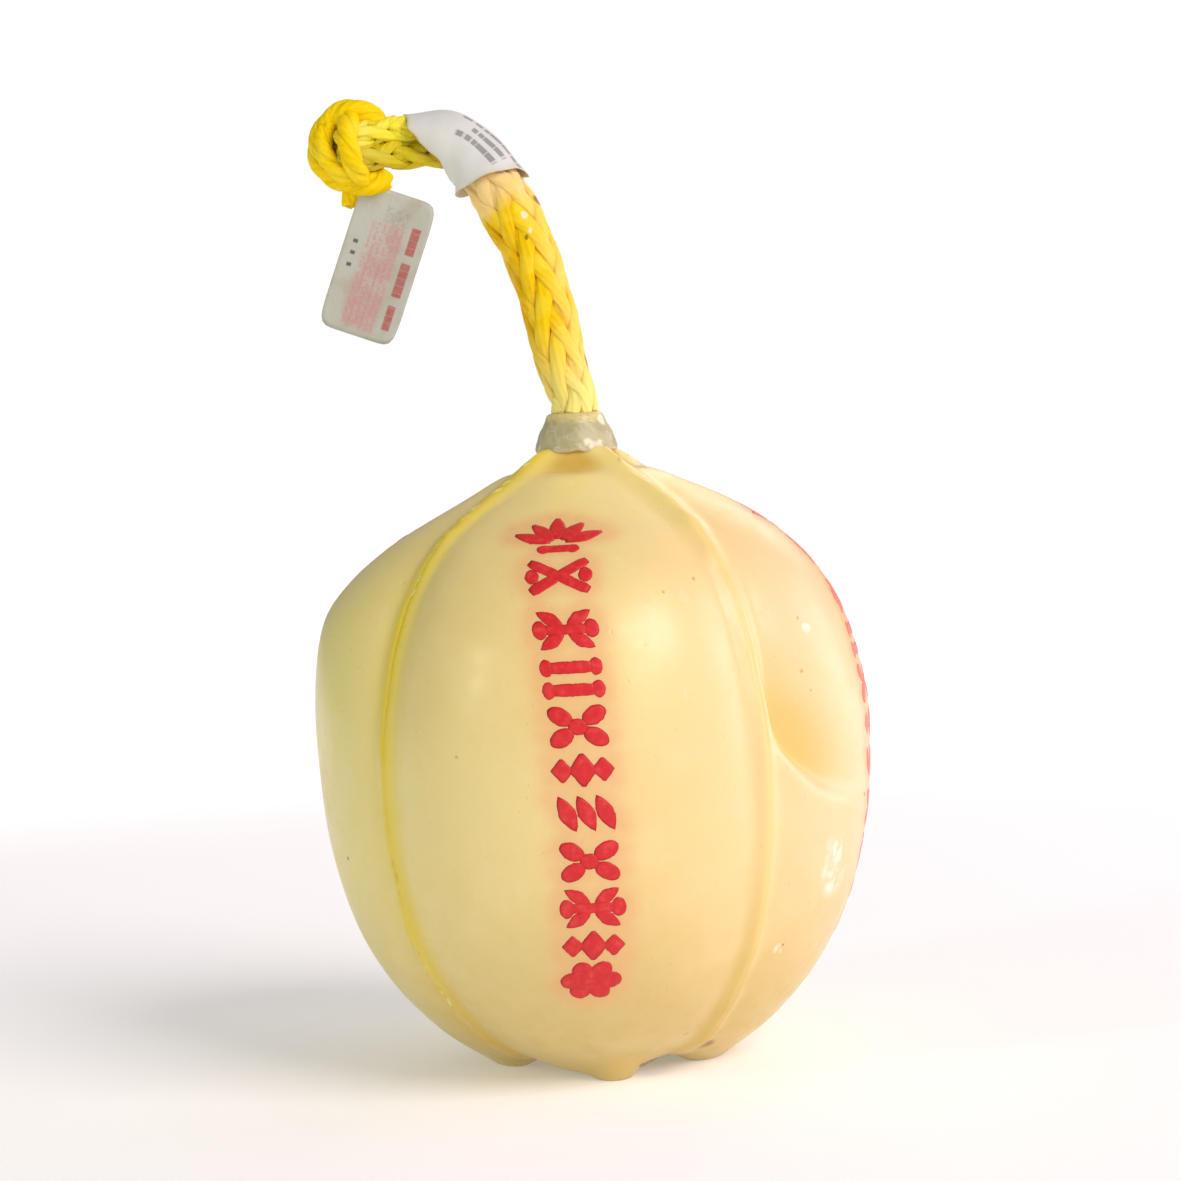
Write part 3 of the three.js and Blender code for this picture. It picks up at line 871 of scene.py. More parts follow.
def wax_paint():
    paint = Paint("waxed_rind", IOR=1.45, Coat_Roughness=0.28, Subsurface_Weight=0.3,
                  Subsurface_Radius=(1.0, 0.62, 0.25), Subsurface_Scale=5 * MM)
    ink, rope = paint.attribute("ink"), paint.attribute("rope")
    neck, dent = paint.attribute("neck"), paint.attribute("dent")
    clouds, patches = paint.noise(90 * MM, 3), paint.noise(22 * MM, 4)
    grain, haze = paint.noise(1.6 * MM, 3), paint.noise(9 * MM, 5, 0.65)
    runs = paint.noise(13 * MM, 4, 0.6, (1.6, 1.6, 0.28))
    height = paint.axis("Z")
    colour = paint.mix(paint.step(clouds, 0.3, 0.72) * 0.7, CREAM, STRAW)
    colour = paint.mix(paint.step(patches, 0.45, 0.85) * 0.4, colour, PALE_WAX)
    colour = paint.mix(paint.step(runs, 0.5, 0.8) * 0.2, colour, PALE_WAX)
    # Painted light and shade: the right (+X) side is tinted rosy as if lit by the warm light from
    # the right, and the left side greenish as if in cool shade.
    across = paint.axis("X") + patches * 0.02
    rosy = paint.step(across, 0.02, 0.1) * paint.step(height, 0.01, 0.08)
    colour = paint.mix(rosy * 0.45, colour, ROSY_LIGHT_TINT)
    colour = paint.mix(paint.step(across, 0.0, -0.08) * 0.42, colour, GREEN_SHADE_TINT)
    # Painted shade: the skin turns a darker tan towards the bottom.
    colour = paint.mix(paint.step(height + patches * 0.03, 0.11, 0.0) * 0.66, colour, LOW_SHADE_TAN)
    colour = paint.mix(paint.step(height, 0.19, 0.216) * 0.5, colour, NECK_CREAM)
    stain = (rope * (0.85 + 0.4 * patches)).least(1.0)
    stain = stain * (0.3 + 0.7 * paint.step(height, 0.012, 0.05))
    colour = paint.mix(stain, colour, ROPE_YELLOW)
    # Painted shade, with some of the ropes' dye: ochre along the ropes in the creases near the
    # bottom.
    colour = paint.mix((rope * 3).least(1.0) * paint.step(height, 0.06, 0.015) * 0.5, colour, OCHRE_SHADE)
    # Painted shade: ochre in the hollow under the collar, at the neck.
    colour = paint.mix(paint.step(neck, 0.1, 0.8) * (0.55 + 0.5 * haze), colour, OCHRE_SHADE)
    # Painted shade: a deeper orange inside the dent, strongest where it is deepest.
    colour = paint.mix(paint.step(dent, 0.05, 0.95) * 0.75, colour, DENT_SHADE)
    colour = paint.mix(ink * (0.35 + 0.5 * haze), colour, INK_VEIL)
    pits = add_marks(paint, PITS)
    cuts = add_marks(paint, CUTS, (1, 1, 0.4)) * paint.step(haze, 0.34, 0.46)
    colour = paint.mix(pits.least(1.0) * 0.55, colour, PIT_FLOOR)
    colour = paint.mix(cuts.least(1.0) * 0.85, colour, SPECK)
    colour = paint.mix(add_marks(paint, SPECKS).least(1.0) * 0.85, colour, SPECK)
    bruise = add_marks(paint, [FOOT_BRUISE], (1.2, 1.2, 0.8)) * (0.5 + 0.5 * haze)
    colour = paint.mix(bruise, colour, BRUISE)
    azimuth, up, size = LARGE_SCUFF
    lower = on_skin(azimuth, up) - [0, 0, size * MM]
    scuff = add_marks(paint, [LARGE_SCUFF], (1, 1, 0.7)) + paint.spot(lower, size * MM)
    scuff = scuff + add_marks(paint, SCUFFS, (1, 1, 0.8))
    scuff = scuff.least(1.0) * paint.step(runs + haze, 0.9, 1.15)
    colour = paint.mix(scuff * 0.75, colour, SCUFF)
    relief = grain * 0.12 + haze * 0.3 + patches * 0.6 - pits.least(1.0) * 0.5 + scuff * 0.5
    relief = relief - paint.step(paint.pores(7 * MM), 0.12, 0.05) * 0.35
    roughness = 0.3 + 0.22 * haze + 0.25 * scuff + 0.1 * neck
    return paint.finish(colour, roughness, relief, 0.35 * MM,
                        coat=0.5 * paint.step(haze, 0.75, 0.4))


cheese_skin.data.materials.append(wax_paint())
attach(cheese_skin, "root")
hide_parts("cheese_body")

# %% [markdown]
# ## The red stamps
#
# The ink lies in the wax and the wax has swollen a little round it, so each blot is a
# very low cushion of its own. Worn places show the wax again, which the paint does with a
# broken cloud.

# %% Stamp all four lobes
INK_SEED = 11
INK_RED, INK_DEEP, INK_WORN = tint(219, 31, 36), tint(197, 18, 28), tint(232, 92, 84)
INK_FAINT = tint(240, 150, 122)
FADED_LOBE = 1  # a neighbour in the same box has rubbed this one pale


def ink_paint():
    paint = Paint("stamp_ink", IOR=1.45, Coat_Roughness=0.3)
    worn, grain = paint.noise(3.4 * MM, 4, 0.65), paint.noise(0.7 * MM, 2)
    rim = paint.step(paint.attribute("rim"), 0.55, 0.98)
    colour = paint.mix(0.45 + 0.55 * paint.step(worn, 0.3, 0.6), INK_DEEP, INK_RED)
    bare = paint.step(worn + 0.2 * grain, 0.58, 0.8) * 0.35 * (1 - rim)
    colour = paint.mix(bare, colour, INK_WORN)
    colour = paint.mix(rim * 0.3, colour, INK_DEEP)
    colour = paint.mix(paint.attribute("faded") * (0.35 + 0.6 * worn), colour, INK_FAINT)
    return paint.finish(colour, 0.38 + 0.25 * grain, worn, 0.12 * MM, coat=0.3 * worn)


def build_stamps():
    generator = np.random.default_rng(INK_SEED)
    points, faces, rims, faded = [], [], [], []
    for lobe in PRINT_LINES:
        more_points, more_faces, more_rims = print_blots(lobe, generator)
        first = len(points)
        points += more_points
        rims += more_rims
        faded += [float(lobe == FADED_LOBE)] * len(more_rims)
        faces += [tuple(first + i for i in face) for face in more_faces]
    return make_piece("red_stamps", points, faces, ink_paint(), marks={"rim": rims, "faded": faded})


red_stamps = build_stamps()
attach(red_stamps, "root")
print("stamps:", len(red_stamps.data.polygons), "faces")

# %% [markdown]
# ## One recipe for every rope
#
# A laid rope and a round plait are the same thing to a rope maker: strands that travel
# round a middle line as they go along it. In a laid rope all go the same way. In a plait
# half of them go the other way, and each steps over and under those it meets. So one
# Geometry Nodes tree makes them all. It copies the line once for each strand, pushes each
# copy out to its place round the line, and wraps a rounded section along it.

# %% The rope recipe
STRAND_SIDES = 14


class Recipe(Nodes):
    """A geometry tree with named inputs, which turns a line of points into a mesh."""

    def __init__(self, name, numbers):
        super().__init__(bpy.data.node_groups.new(name, "GeometryNodeTree"))
        panel = self.tree.interface
        panel.new_socket("Line", in_out="INPUT", socket_type="NodeSocketGeometry")
        for label, kind in numbers.items():
            panel.new_socket(label, in_out="INPUT", socket_type=kind)
        panel.new_socket("Rope", in_out="OUTPUT", socket_type="NodeSocketGeometry")
        self.given = self.tree.nodes.new("NodeGroupInput").outputs
        self.result = self.tree.nodes.new("NodeGroupOutput").inputs["Rope"]

    def number(self, label):
        return Wire(self, self.given[label])

    def vector(self, operation, *values):
        node = self.node("ShaderNodeVectorMath", {"operation": operation}, dict(enumerate(values)))
        return node.outputs["Value" if operation == "LENGTH" else "Vector"]

    def scaled(self, vector, amount):
        values = {"Vector": vector, "Scale": amount}
        return self.node("ShaderNodeVectorMath", {"operation": "SCALE"}, values).outputs[0]

    def keep(self, geometry, label, kind, value):
        settings = {"data_type": kind, "domain": "POINT"}
        values = {"Geometry": geometry, "Name": label, "Value": value}
        return self.node("GeometryNodeStoreNamedAttribute", settings, values).outputs[0]

    def kept(self, label, kind):
        settings = {"data_type": kind}
        return self.node("GeometryNodeInputNamedAttribute", settings, {"Name": label}).outputs[0]

    def make(self, name, line, thickness, **given):
        """The mesh on a line of points, with the rope's own thickness at each of them."""
        mesh = bpy.data.meshes.new(name)
        mesh.from_pydata(line.tolist(), [(i, i + 1) for i in range(len(line) - 1)], [])
        keep_values(mesh, "thickness", thickness)
        piece = bpy.data.objects.new(name, mesh)
        bpy.context.scene.collection.objects.link(piece)
        modifier = piece.modifiers.new("rope", "NODES")
        modifier.node_group = self.tree
        sockets = {item.name: item.identifier for item in self.tree.interface.items_tree}
        for label, value in given.items():
            modifier[sockets[label.replace("_", " ")]] = value
        graph = bpy.context.evaluated_depsgraph_get()
        finished = bpy.data.meshes.new_from_object(piece.evaluated_get(graph), depsgraph=graph)
        piece.modifiers.remove(modifier)
        piece.data = finished
        return piece


def rope_recipe():
    kinds = {"Strands": "NodeSocketInt", "Seed": "NodeSocketInt",
             "Rope Material": "NodeSocketMaterial"}
    lengths = ["Ring Radius", "Strand Width", "Strand Height", "Pitch", "Two Ways", "Weave",
               "Unevenness"]
    recipe = Recipe("rope_recipe", kinds | {label: "NodeSocketFloat" for label in lengths})
    number = recipe.number
    curve = recipe.node("GeometryNodeMeshToCurve", {}, {0: recipe.given["Line"]})
    copies = recipe.node("GeometryNodeDuplicateElements", {"domain": "SPLINE"},
                         {"Geometry": curve.outputs[0], "Amount": number("Strands")})
    index = Wire(recipe, copies.outputs["Duplicate Index"])
    length = Wire(recipe, recipe.node("GeometryNodeSplineParameter").outputs["Length"])
    thickness = Wire(recipe, recipe.kept("thickness", "FLOAT"))
    # Every second strand goes the other way where the rope is plaited.
    other = (index % 2) * number("Two Ways")
    way = 1 - 2 * other
    turn = way * length / number("Pitch") * (2 * math.pi)
    angle = turn + (index - other) * (2 * math.pi) / number("Strands")
    # Each strand of a plait goes over two others and then under two.
    step = (index - other) * (math.pi / 2) + turn * number("Strands") / 4 + math.pi / 4
    lift = step.cosine() * way
    over = lift * number("Weave")
    luck = recipe.node("FunctionNodeRandomValue", {"data_type": "FLOAT"},
                       {"Min": 0.9, "Max": 1.1, "ID": index, "Seed": number("Seed")})
    luck = Wire(recipe, next(s for s in luck.outputs if s.enabled))
    reach = (number("Ring Radius") + over) * thickness
    tangent = recipe.node("GeometryNodeInputTangent").outputs[0]
    normal = recipe.node("GeometryNodeInputNormal").outputs[0]
    beside = recipe.vector("CROSS_PRODUCT", tangent, normal)
    outwards = recipe.vector("ADD", recipe.scaled(normal, angle.cosine()),
                             recipe.scaled(beside, angle.sine()))
    kept = recipe.keep(copies.outputs[0], "outwards", "FLOAT_VECTOR", outwards)
    kept = recipe.keep(kept, "along", "FLOAT", length)
    kept = recipe.keep(kept, "luck", "FLOAT", luck)
    kept = recipe.keep(kept, "under", "FLOAT", (0.5 - 0.5 * lift) * number("Two Ways"))
    # Nothing tied by hand is quite even, so every point also wanders a little.
    place = recipe.node("GeometryNodeInputPosition").outputs[0]
    cloud = recipe.node("ShaderNodeTexNoise", {"noise_dimensions": "4D"},
                        {"Vector": place, "W": index * 3.7 + number("Seed"),
                         "Scale": 110.0, "Detail": 1.0})
    wander = recipe.vector("SUBTRACT", cloud.outputs["Color"], (0.5, 0.5, 0.5))
    wander = recipe.scaled(wander, number("Unevenness") * 2)
    offset = recipe.vector("ADD", recipe.scaled(recipe.kept("outwards", "FLOAT_VECTOR"), reach),
                           wander)
    moved = recipe.node("GeometryNodeSetPosition", {},
                        {"Geometry": kept, "Offset": offset}).outputs[0]
    facing = recipe.node("GeometryNodeSetCurveNormal", {"mode": "FREE"},
                         {"Curve": moved, "Normal": recipe.kept("outwards", "FLOAT_VECTOR")})
    ring = recipe.node("GeometryNodeCurvePrimitiveCircle", {},
                       {"Resolution": STRAND_SIDES, "Radius": 1.0})
    section = recipe.keep(ring.outputs[0], "ring", "FLOAT_VECTOR", place)
    wide = recipe.node("ShaderNodeCombineXYZ", {},
                       {0: number("Strand Height"), 1: number("Strand Width"), 2: 1.0})
    flat = recipe.vector("MULTIPLY", place, wide.outputs[0])
    section = recipe.node("GeometryNodeSetPosition", {},
                          {"Geometry": section, "Position": flat}).outputs[0]
    size = thickness * Wire(recipe, recipe.kept("luck", "FLOAT"))
    tube = recipe.node("GeometryNodeCurveToMesh", {}, {
        "Curve": facing.outputs[0], "Profile Curve": section, "Fill Caps": True, "Scale": size})
    smooth = recipe.node("GeometryNodeSetShadeSmooth", {}, {"Geometry": tube.outputs[0]})
    real = recipe.node("GeometryNodeRealizeInstances", {}, {"Geometry": smooth.outputs[0]})
    painted = recipe.node("GeometryNodeSetMaterial", {},
                          {"Geometry": real.outputs[0], "Material": recipe.given["Rope Material"]})
    recipe.feed(recipe.result, painted.outputs[0])
    return recipe


ROPE = rope_recipe()
print("rope recipe:", len(ROPE.tree.nodes), "nodes")

# %% [markdown]
# ## The finish of a rope
#
# All ropes here share one finish with other colours. Fine yarns run round each strand,
# which a sine over the angle and the length draws; painted shade darkens each strand's inner
# side and the stretches where it passes under another, and wax dulls and lightens the
# outside in patches.

# %% Rope paints
DIRT, FLECK = tint(104, 74, 24), tint(250, 236, 206)
ROPE_ROUGHNESS, ROPE_SHINE = 0.5, 0.15


def rope_paint(name, bright, deep, waxed, wax_share, pitch, yarns=6,
               dips=(), lit_side_colour=None, dirt=(), flecks=()):
    paint = Paint(name, IOR=1.45, Coat_Roughness=0.35, Specular_IOR_Level=0.12,
                  Subsurface_Weight=0.25, Subsurface_Radius=(1.0, 0.6, 0.1),
                  Subsurface_Scale=3 * MM)
    ring = paint.attribute_vector("ring")
    outwards = paint.axis("X", ring)
    angle = paint.sum_of("ARCTAN2", paint.axis("Y", ring), outwards)
    along = paint.attribute("along") * (2 * math.pi / pitch)
    yarn = (angle * yarns + along).sine() * 0.5 + 0.5
    fuzz, clouds = paint.noise(0.9 * MM, 3, 0.7), paint.noise(11 * MM, 3)
    wax = paint.step(clouds + 0.2 * fuzz, 0.78 - wax_share * 0.4, 0.86 - wax_share * 0.3)
    luck = paint.step(paint.attribute("luck"), 0.9, 1.1)
    # Painted shade: each strand is darker on its inner side, towards the rope's middle.
    open_side = paint.step(outwards, -0.7, 0.5)
    colour = paint.mix((open_side * (0.7 + 0.22 * yarn + 0.25 * luck)).least(1.0), deep, bright)
    colour = paint.mix(wax * (0.35 + 0.3 * open_side), colour, waxed)
    colour = paint.mix(paint.step(fuzz, 0.62, 0.8) * 0.25, colour, deep)
    # Painted light and shade: the handle's right side (+X) is painted creamier, as if lit from the
    # right, and its left side darker, as if in shade.
    if lit_side_colour:
        facing = paint.axis("X", paint.attribute_vector("outwards"))
        colour = paint.mix(paint.step(facing, 0.1, 0.9) * (0.25 + 0.35 * clouds), colour, lit_side_colour)
        colour = paint.mix(paint.step(facing, -0.3, -0.95) * 0.3, colour, deep)
    # Dipped stretches: from a place along the rope, thick wax that thins out towards another.
    covered = 0.0
    for thick, thin, dipped in dips:
        cover = paint.step(paint.attribute("along") + 0.014 * (clouds - 0.5), thin, thick)
        colour = paint.mix(cover * (0.45 + 0.5 * open_side), colour, dipped)
        covered = cover + covered
    # Painted shade: strands where they pass under others, and the core in the gaps, are darkened.
    under_shade = paint.step(paint.attribute("under"), 0.5, 0.95)
    colour = paint.mix(under_shade * (0.45 - 0.3 * covered), colour, deep)
    for point, radius, squash in dirt:
        colour = paint.mix(paint.spot(point, radius, squash) * 0.8, colour, DIRT)
    for point, radius, squash in flecks:
        fleck = paint.spot(point, radius, squash) * paint.step(fuzz, 0.3, 0.5)
        colour = paint.mix(fleck, colour, FLECK)
    relief = yarn * (1 - 0.6 * wax) + fuzz * 0.6 + wax * 0.4
    roughness = ROPE_ROUGHNESS + 0.2 * fuzz - 0.12 * wax
    return paint.finish(colour, roughness, relief, 0.22 * MM, coat=ROPE_SHINE * wax)


# %% [markdown]
# ## The sling
#
# Two twines cross under the cheese and come up in its four valleys, so it hangs as in a
# cradle. They have sunk in, and the wax closes over most of their length. Each follows
# the valley's own outline.

# %% Lay the two sling twines
SLING_STATIONS = VALLEY[2:16]
UNDERSIDE = [(30 * MM, 0.45), (15 * MM, 0.9)]  # radius, and share of the way to the crossing
LOW_CROSSING, HIGH_CROSSING = 4.35 * MM, 10.2 * MM
SLING_PITCH = 17 * MM
SLING_STEP = 1.5 * MM


def place(radius, azimuth, height):
    turn = math.radians(azimuth)
    return [radius * math.sin(turn), -radius * math.cos(turn), height]


def sling_line(azimuth, crossing):
    """Down one valley, under the middle and up the valley opposite."""
    last = SLING_STATIONS[-1][1]
    half = [tuple(station) for station in SLING_STATIONS]
    half += [(radius, last + (crossing - last) * share) for radius, share in UNDERSIDE]
    first = [place(r, azimuth, z) for r, z in half]
    second = [place(r, azimuth + 180, z) for r, z in half]
    points = [*first, [0, 0, crossing], *second[::-1]]
    _, length = even_steps(points, 50)
    return even_steps(points, round(length / SLING_STEP))[0]


TWINE_COLOURS = tint(232, 208, 96), tint(178, 138, 40), tint(244, 228, 150)
sling_finish = rope_paint("sling_twine", *TWINE_COLOURS, 0.55, 6 * MM)
TWINES = [("sling_rope_a", -45, LOW_CROSSING), ("sling_rope_b", 45, HIGH_CROSSING)]
for name, azimuth, crossing in TWINES:
    line = sling_line(azimuth, crossing)
    twine = ROPE.make("twine_" + name[-1], line, np.ones(len(line)), Strands=3, Seed=4,
                      Rope_Material=sling_finish, Ring_Radius=1.35 * MM, Strand_Width=1.45 * MM,
                      Strand_Height=1.38 * MM, Pitch=SLING_PITCH, Two_Ways=0.0, Weave=0.0,
                      Unevenness=0.06 * MM)
    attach(twine, "root")
    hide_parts(name)
    print(twine.name, len(twine.data.polygons), "faces")

# %% [markdown]
# ## The handle
#
# The handle is a round plait of sixteen strands, eight each way, pulled over a core. Under
# the label it splits into two thinner plaited cords that run on into the knot. It is one
# free rope from the collar to the knot, stiff because it is soaked in wax: that is why it
# stands up by itself.

# %% Plait the handle
PLAIT_END, CORDS_START = 0.872, 0.845
PLAIT_STEPS, CORD_STEPS = 170, 60
PLAIT_PITCH, CORD_PITCH = 162 * MM, 54 * MM
# How thick the plait is at the collar, and how much that changes between two shares.
PLAIT_START = 0.84
PLAIT_SWELLS = [(0.14, 0, 0.25), (0.09, 0.32, 0.6), (-0.09, 0.65, 0.7), (-0.14, 0.76, 0.86)]
CORD_GAP = 9.3 * MM
# How the two plaited cords are made, on the handle and in the knot.
CORD_MAKE = {"Strands": 8, "Ring_Radius": 3.5 * MM, "Strand_Width": 2.2 * MM,
             "Strand_Height": 1.5 * MM, "Pitch": CORD_PITCH, "Two_Ways": 1.0, "Weave": 0.4 * MM}
# The core's darkness is painted shade, for the gaps between the strands.
CORE_RADIUS, CORE_SHADE = 8.6 * MM, 0.8  # its depth says how much darker it is
CORE_ROWS, CORE_COLUMNS = 60, 16
HANDLE_BRIGHT, HANDLE_DEEP, HANDLE_WAX = tint(254, 208, 2), tint(222, 144, 0), tint(255, 218, 50)
DIPPED_WAX, PEACH_WAX, HANDLE_LIT_SIDE = tint(255, 236, 136), tint(250, 212, 142), tint(255, 212, 126)
# From where to where wax from a dip thins out, and its colour.
HANDLE_DIPS = [(0.0, 34 * MM, DIPPED_WAX), (88 * MM, 78 * MM, PEACH_WAX)]
# Spots of dirt and chips of white wax on the plait: share, angle, size and stretch.
HANDLE_DIRT = [(0.03, 15, 1.5, 2.2), (0.14, 16, 1.5, 3.6), (0.57, 12, 2.2, 1.2),
               (0.478, 84, 0.9, 1.6), (0.3, 200, 1.4, 2.4)]
MARK_RADIUS = 10.6 * MM
HANDLE_FLECKS = [(0.538, 68, 1.3, 1.4), (0.49, 72, 0.8, 1.6), (0.2, 104, 1.0, 2.0)]
# The lower cord is painted darker than the upper one: painted shade, as it lies in the upper one's
# shadow.
CORD_LIT_AND_SHADED = {"upper": (tint(252, 234, 64), tint(226, 204, 28), tint(246, 232, 104)),
                "lower": (tint(220, 198, 34), tint(192, 168, 14), tint(212, 196, 70))}


def on_plait(marks):
    """Marks on the plait as places, radii and squashes for the paint."""
    return [(on_handle(share, math.radians(turn), MARK_RADIUS), size * MM, (1, 1, stretch))
            for share, turn, size, stretch in marks]


handle_finish = rope_paint("plait_yarn", HANDLE_BRIGHT, HANDLE_DEEP, HANDLE_WAX, 0.6, 9 * MM,
                           yarns=7, dips=HANDLE_DIPS, lit_side_colour=HANDLE_LIT_SIDE,
                           dirt=on_plait(HANDLE_DIRT), flecks=on_plait(HANDLE_FLECKS))
cord_finishes = {name: rope_paint(name + "_cord_yarn", *colours, 0.5, 6 * MM, yarns=5)
                 for name, colours in CORD_LIT_AND_SHADED.items()}


def handle_stretch(first, last, count, aside=0.0):
    """Points of the handle's middle line, or of a line beside it on its outer side."""
    share = np.linspace(first, last, count)
    return on_handle(share, 0.0, aside)


def plait_thickness(count):
    """The plait is drawn in where the wax collar grips it and swells in the bend."""
    share = np.linspace(0, PLAIT_END, count)
    swells = (amount * rise_between(low, high, share) for amount, low, high in PLAIT_SWELLS)
    return PLAIT_START + sum(swells)


def core_tube():
    """What the strands lie on, showing in the gaps between them and painted darker there as shade.
    """
    rows, columns = CORE_ROWS, CORE_COLUMNS
    line = handle_stretch(0.0, PLAIT_END, rows)
    share = np.repeat(np.linspace(0.0, PLAIT_END, rows), columns)
    turn = np.tile(np.linspace(0, 2 * math.pi, columns, endpoint=False), rows)
    wall = on_handle(share, turn, CORE_RADIUS * np.repeat(plait_thickness(rows), columns))
    points = np.concatenate([wall, line[:1], line[-1:]])
    last = rows * columns
    faces = [face[::-1] for face in grid_faces(rows, columns)]
    faces += pole_faces(list(range(columns)), last)
    faces += pole_faces(list(range(last - columns, last)), last + 1, flip=True)
    along = np.concatenate([share, [0, PLAIT_END]]) * handle_length
    marks = {"along": along, "under": CORE_SHADE + 0 * along}
    return make_piece("plait_core", points, faces, handle_finish, marks=marks)


VECTORS = ("ring", "outwards")


def join(name, pieces):
    """One mesh of several, with the values that the rope recipe keeps for each point."""
    points, faces, materials, chosen = [], [], [], []
    kept = {"along": [], "luck": [], "under": [], "ring": [], "outwards": []}
    for piece in pieces:
        mesh, first = piece.data, len(points)
        points += [tuple(vertex.co) for vertex in mesh.vertices]
        faces += [tuple(first + i for i in face.vertices) for face in mesh.polygons]
        if mesh.materials[0] not in materials:
            materials.append(mesh.materials[0])
        chosen += [materials.index(mesh.materials[0])] * len(mesh.polygons)
        for label, values in kept.items():
            field, width = ("vector", 3) if label in VECTORS else ("value", 1)
            here = np.zeros(width * len(mesh.vertices), np.float32)
            if label in mesh.attributes:
                mesh.attributes[label].data.foreach_get(field, here)
            values.append(here)
        bpy.data.objects.remove(piece)
    joined = make_piece(name, points, faces)
    for material in materials:
        joined.data.materials.append(material)
    joined.data.polygons.foreach_set("material_index", chosen)
    for label, values in kept.items():
        kind, field = ("FLOAT_VECTOR", "vector") if label in VECTORS else ("FLOAT", "value")
        keep_values(joined.data, label, np.concatenate(values), kind, field)
    return joined


plait = ROPE.make("plait", handle_stretch(0, PLAIT_END, PLAIT_STEPS), plait_thickness(PLAIT_STEPS),
                  Strands=16, Seed=7, Rope_Material=handle_finish, Ring_Radius=8.0 * MM,
                  Strand_Width=3.1 * MM, Strand_Height=1.8 * MM, Pitch=PLAIT_PITCH, Two_Ways=1.0,
                  Weave=0.7 * MM, Unevenness=0.45 * MM)
end_cords = [
    ROPE.make("end_cord", handle_stretch(CORDS_START, 1.0, CORD_STEPS, side * CORD_GAP / 2),
              np.ones(CORD_STEPS), Seed=9 + side, Rope_Material=cord_finishes[name],
              Unevenness=0.2 * MM, **CORD_MAKE)
    for name, side in (("upper", 1), ("lower", -1))
]
handle = join("plaited_handle", [plait, core_tube(), *end_cords])
print("handle:", len(handle.data.polygons), "faces")

# %% [markdown]
# ## The wax collar
#
# Where the four rope ends meet the handle they were dipped once more. The collar is a
# plain turned shape, made uneven: its skirt runs down in lobes, crumbs of pale wax cling
# to it, and it is clear enough to look greyish.

# %% Turn the collar
COLLAR_PROFILE = MM * np.array([
    [13.6, -0.6], [15.4, 0.2], [15.2, 2.0], [14.6, 4.6], [13.7, 7.0], [12.6, 9.2], [11.6, 11.0],
    [11.2, 12.4], [10.6, 13.4], [9.6, 14.1], [7.5, 14.4],
])
COLLAR_REACH = 15.5 * MM
COLLAR_ROWS, COLLAR_COLUMNS = 44, 96
# Crumbs of pale wax on it: azimuth, millimetres up and size.
COLLAR_CRUMBS = [(24, 3.5, 2.0), (33, 2.0, 2.2), (44, 3.0, 1.8), (66, 12.0, 2.4), (-62, 1.5, 1.8),
                 (160, 2.5, 2.2), (214, 11, 1.8)]


def collar_paint():
    paint = Paint("clear_wax", IOR=1.44, Subsurface_Weight=0.6, Subsurface_Radius=(1.0, 0.8, 0.5),
                  Subsurface_Scale=6 * MM, Coat_Roughness=0.2)
    clouds, crumbs = paint.noise(9 * MM, 2), paint.noise(3.2 * MM, 2)
    height = (paint.axis("Z") - COLLAR_LOW.z) / (COLLAR_HIGH.z - COLLAR_LOW.z)
    colour = paint.mix(paint.step(clouds, 0.35, 0.7), tint(178, 172, 128), tint(194, 187, 146))
    colour = paint.mix(paint.step(height + 0.4 * clouds, 0.85, 1.15) * 0.7, colour,
                       tint(226, 206, 132))
    colour = paint.mix(paint.step(height + 0.5 * clouds, 0.45, 0.2) * 0.6, colour,
                       tint(226, 204, 144))
    streaks = paint.step((clouds - 0.5).size(), 0.02, 0.004)
    colour = paint.mix(streaks * 0.18, colour, tint(232, 226, 196))
    for turn, rise, size in COLLAR_CRUMBS:
        radius = (14.6 - 0.24 * rise) * MM
        crumb = paint.spot(place(radius, turn, COLLAR_LOW.z + rise * MM), size * MM)
        colour = paint.mix(crumb * paint.step(crumbs, 0.35, 0.5) * 0.85, colour,
                           tint(244, 234, 200))
    relief = clouds + 0.2 * crumbs + 0.15 * streaks
    coat = 0.45 * paint.step(clouds, 0.7, 0.4)
    return paint.finish(colour, 0.3 + 0.25 * crumbs, relief, 0.8 * MM, coat)


def build_collar():
    turn = np.linspace(0, 2 * math.pi, COLLAR_COLUMNS, endpoint=False)[None, :]
    share = np.linspace(0, 1, COLLAR_ROWS)[:, None]
    profile = spline(COLLAR_PROFILE, share)
    low = rise_between(0.6, 0.0, share)
    lobes = 0.35 * np.cos(4 * turn + 0.4) + 0.3 * np.sin(7 * turn + 1.0) + 0.25 * np.sin(11 * turn)
    radius = profile[..., 0] - 0.5 * MM + 0.45 * MM * lobes * (0.4 + 0.6 * low)
    height = COLLAR_LOW.z + profile[..., 1] + 0.9 * MM * low * lobes + 0.5 * MM
    ripple = 0.12 * MM * np.sin(19 * turn + 30 * share)
    radius = np.minimum(radius + ripple, COLLAR_REACH)
    points = np.stack([radius * np.sin(turn), -radius * np.cos(turn), height + 0 * radius], axis=-1)
    points = points.reshape(-1, 3)
    count = len(points)
    ends = [[0, 0, COLLAR_LOW.z - 1 * MM], [0, 0, COLLAR_HIGH.z - 0.4 * MM]]
    everything = np.concatenate([points, ends])
    faces = grid_faces(COLLAR_ROWS, COLLAR_COLUMNS)
    faces += pole_faces(list(range(COLLAR_COLUMNS)), count, flip=True)
    faces += pole_faces(list(range(count - COLLAR_COLUMNS, count)), count + 1)
    return make_piece("dipped_collar", everything, faces, collar_paint())


dipped_collar = build_collar()
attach(dipped_collar, "root")
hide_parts("wax_collar")
print("collar:", len(dipped_collar.data.polygons), "faces")

# %% [markdown]
# ## The paper label
#
# A strip of white paper is rolled round the bend and glued. Its edges aren't cut square
# to the handle: one is nearly straight across, the other slants a long way forward on
# the outer side. So the edges are given as how far along the handle they lie at each
# angle round it, and the sheet is a grid between them. The print is a few rows of short
# grey bars, which stand for small print and say nothing.

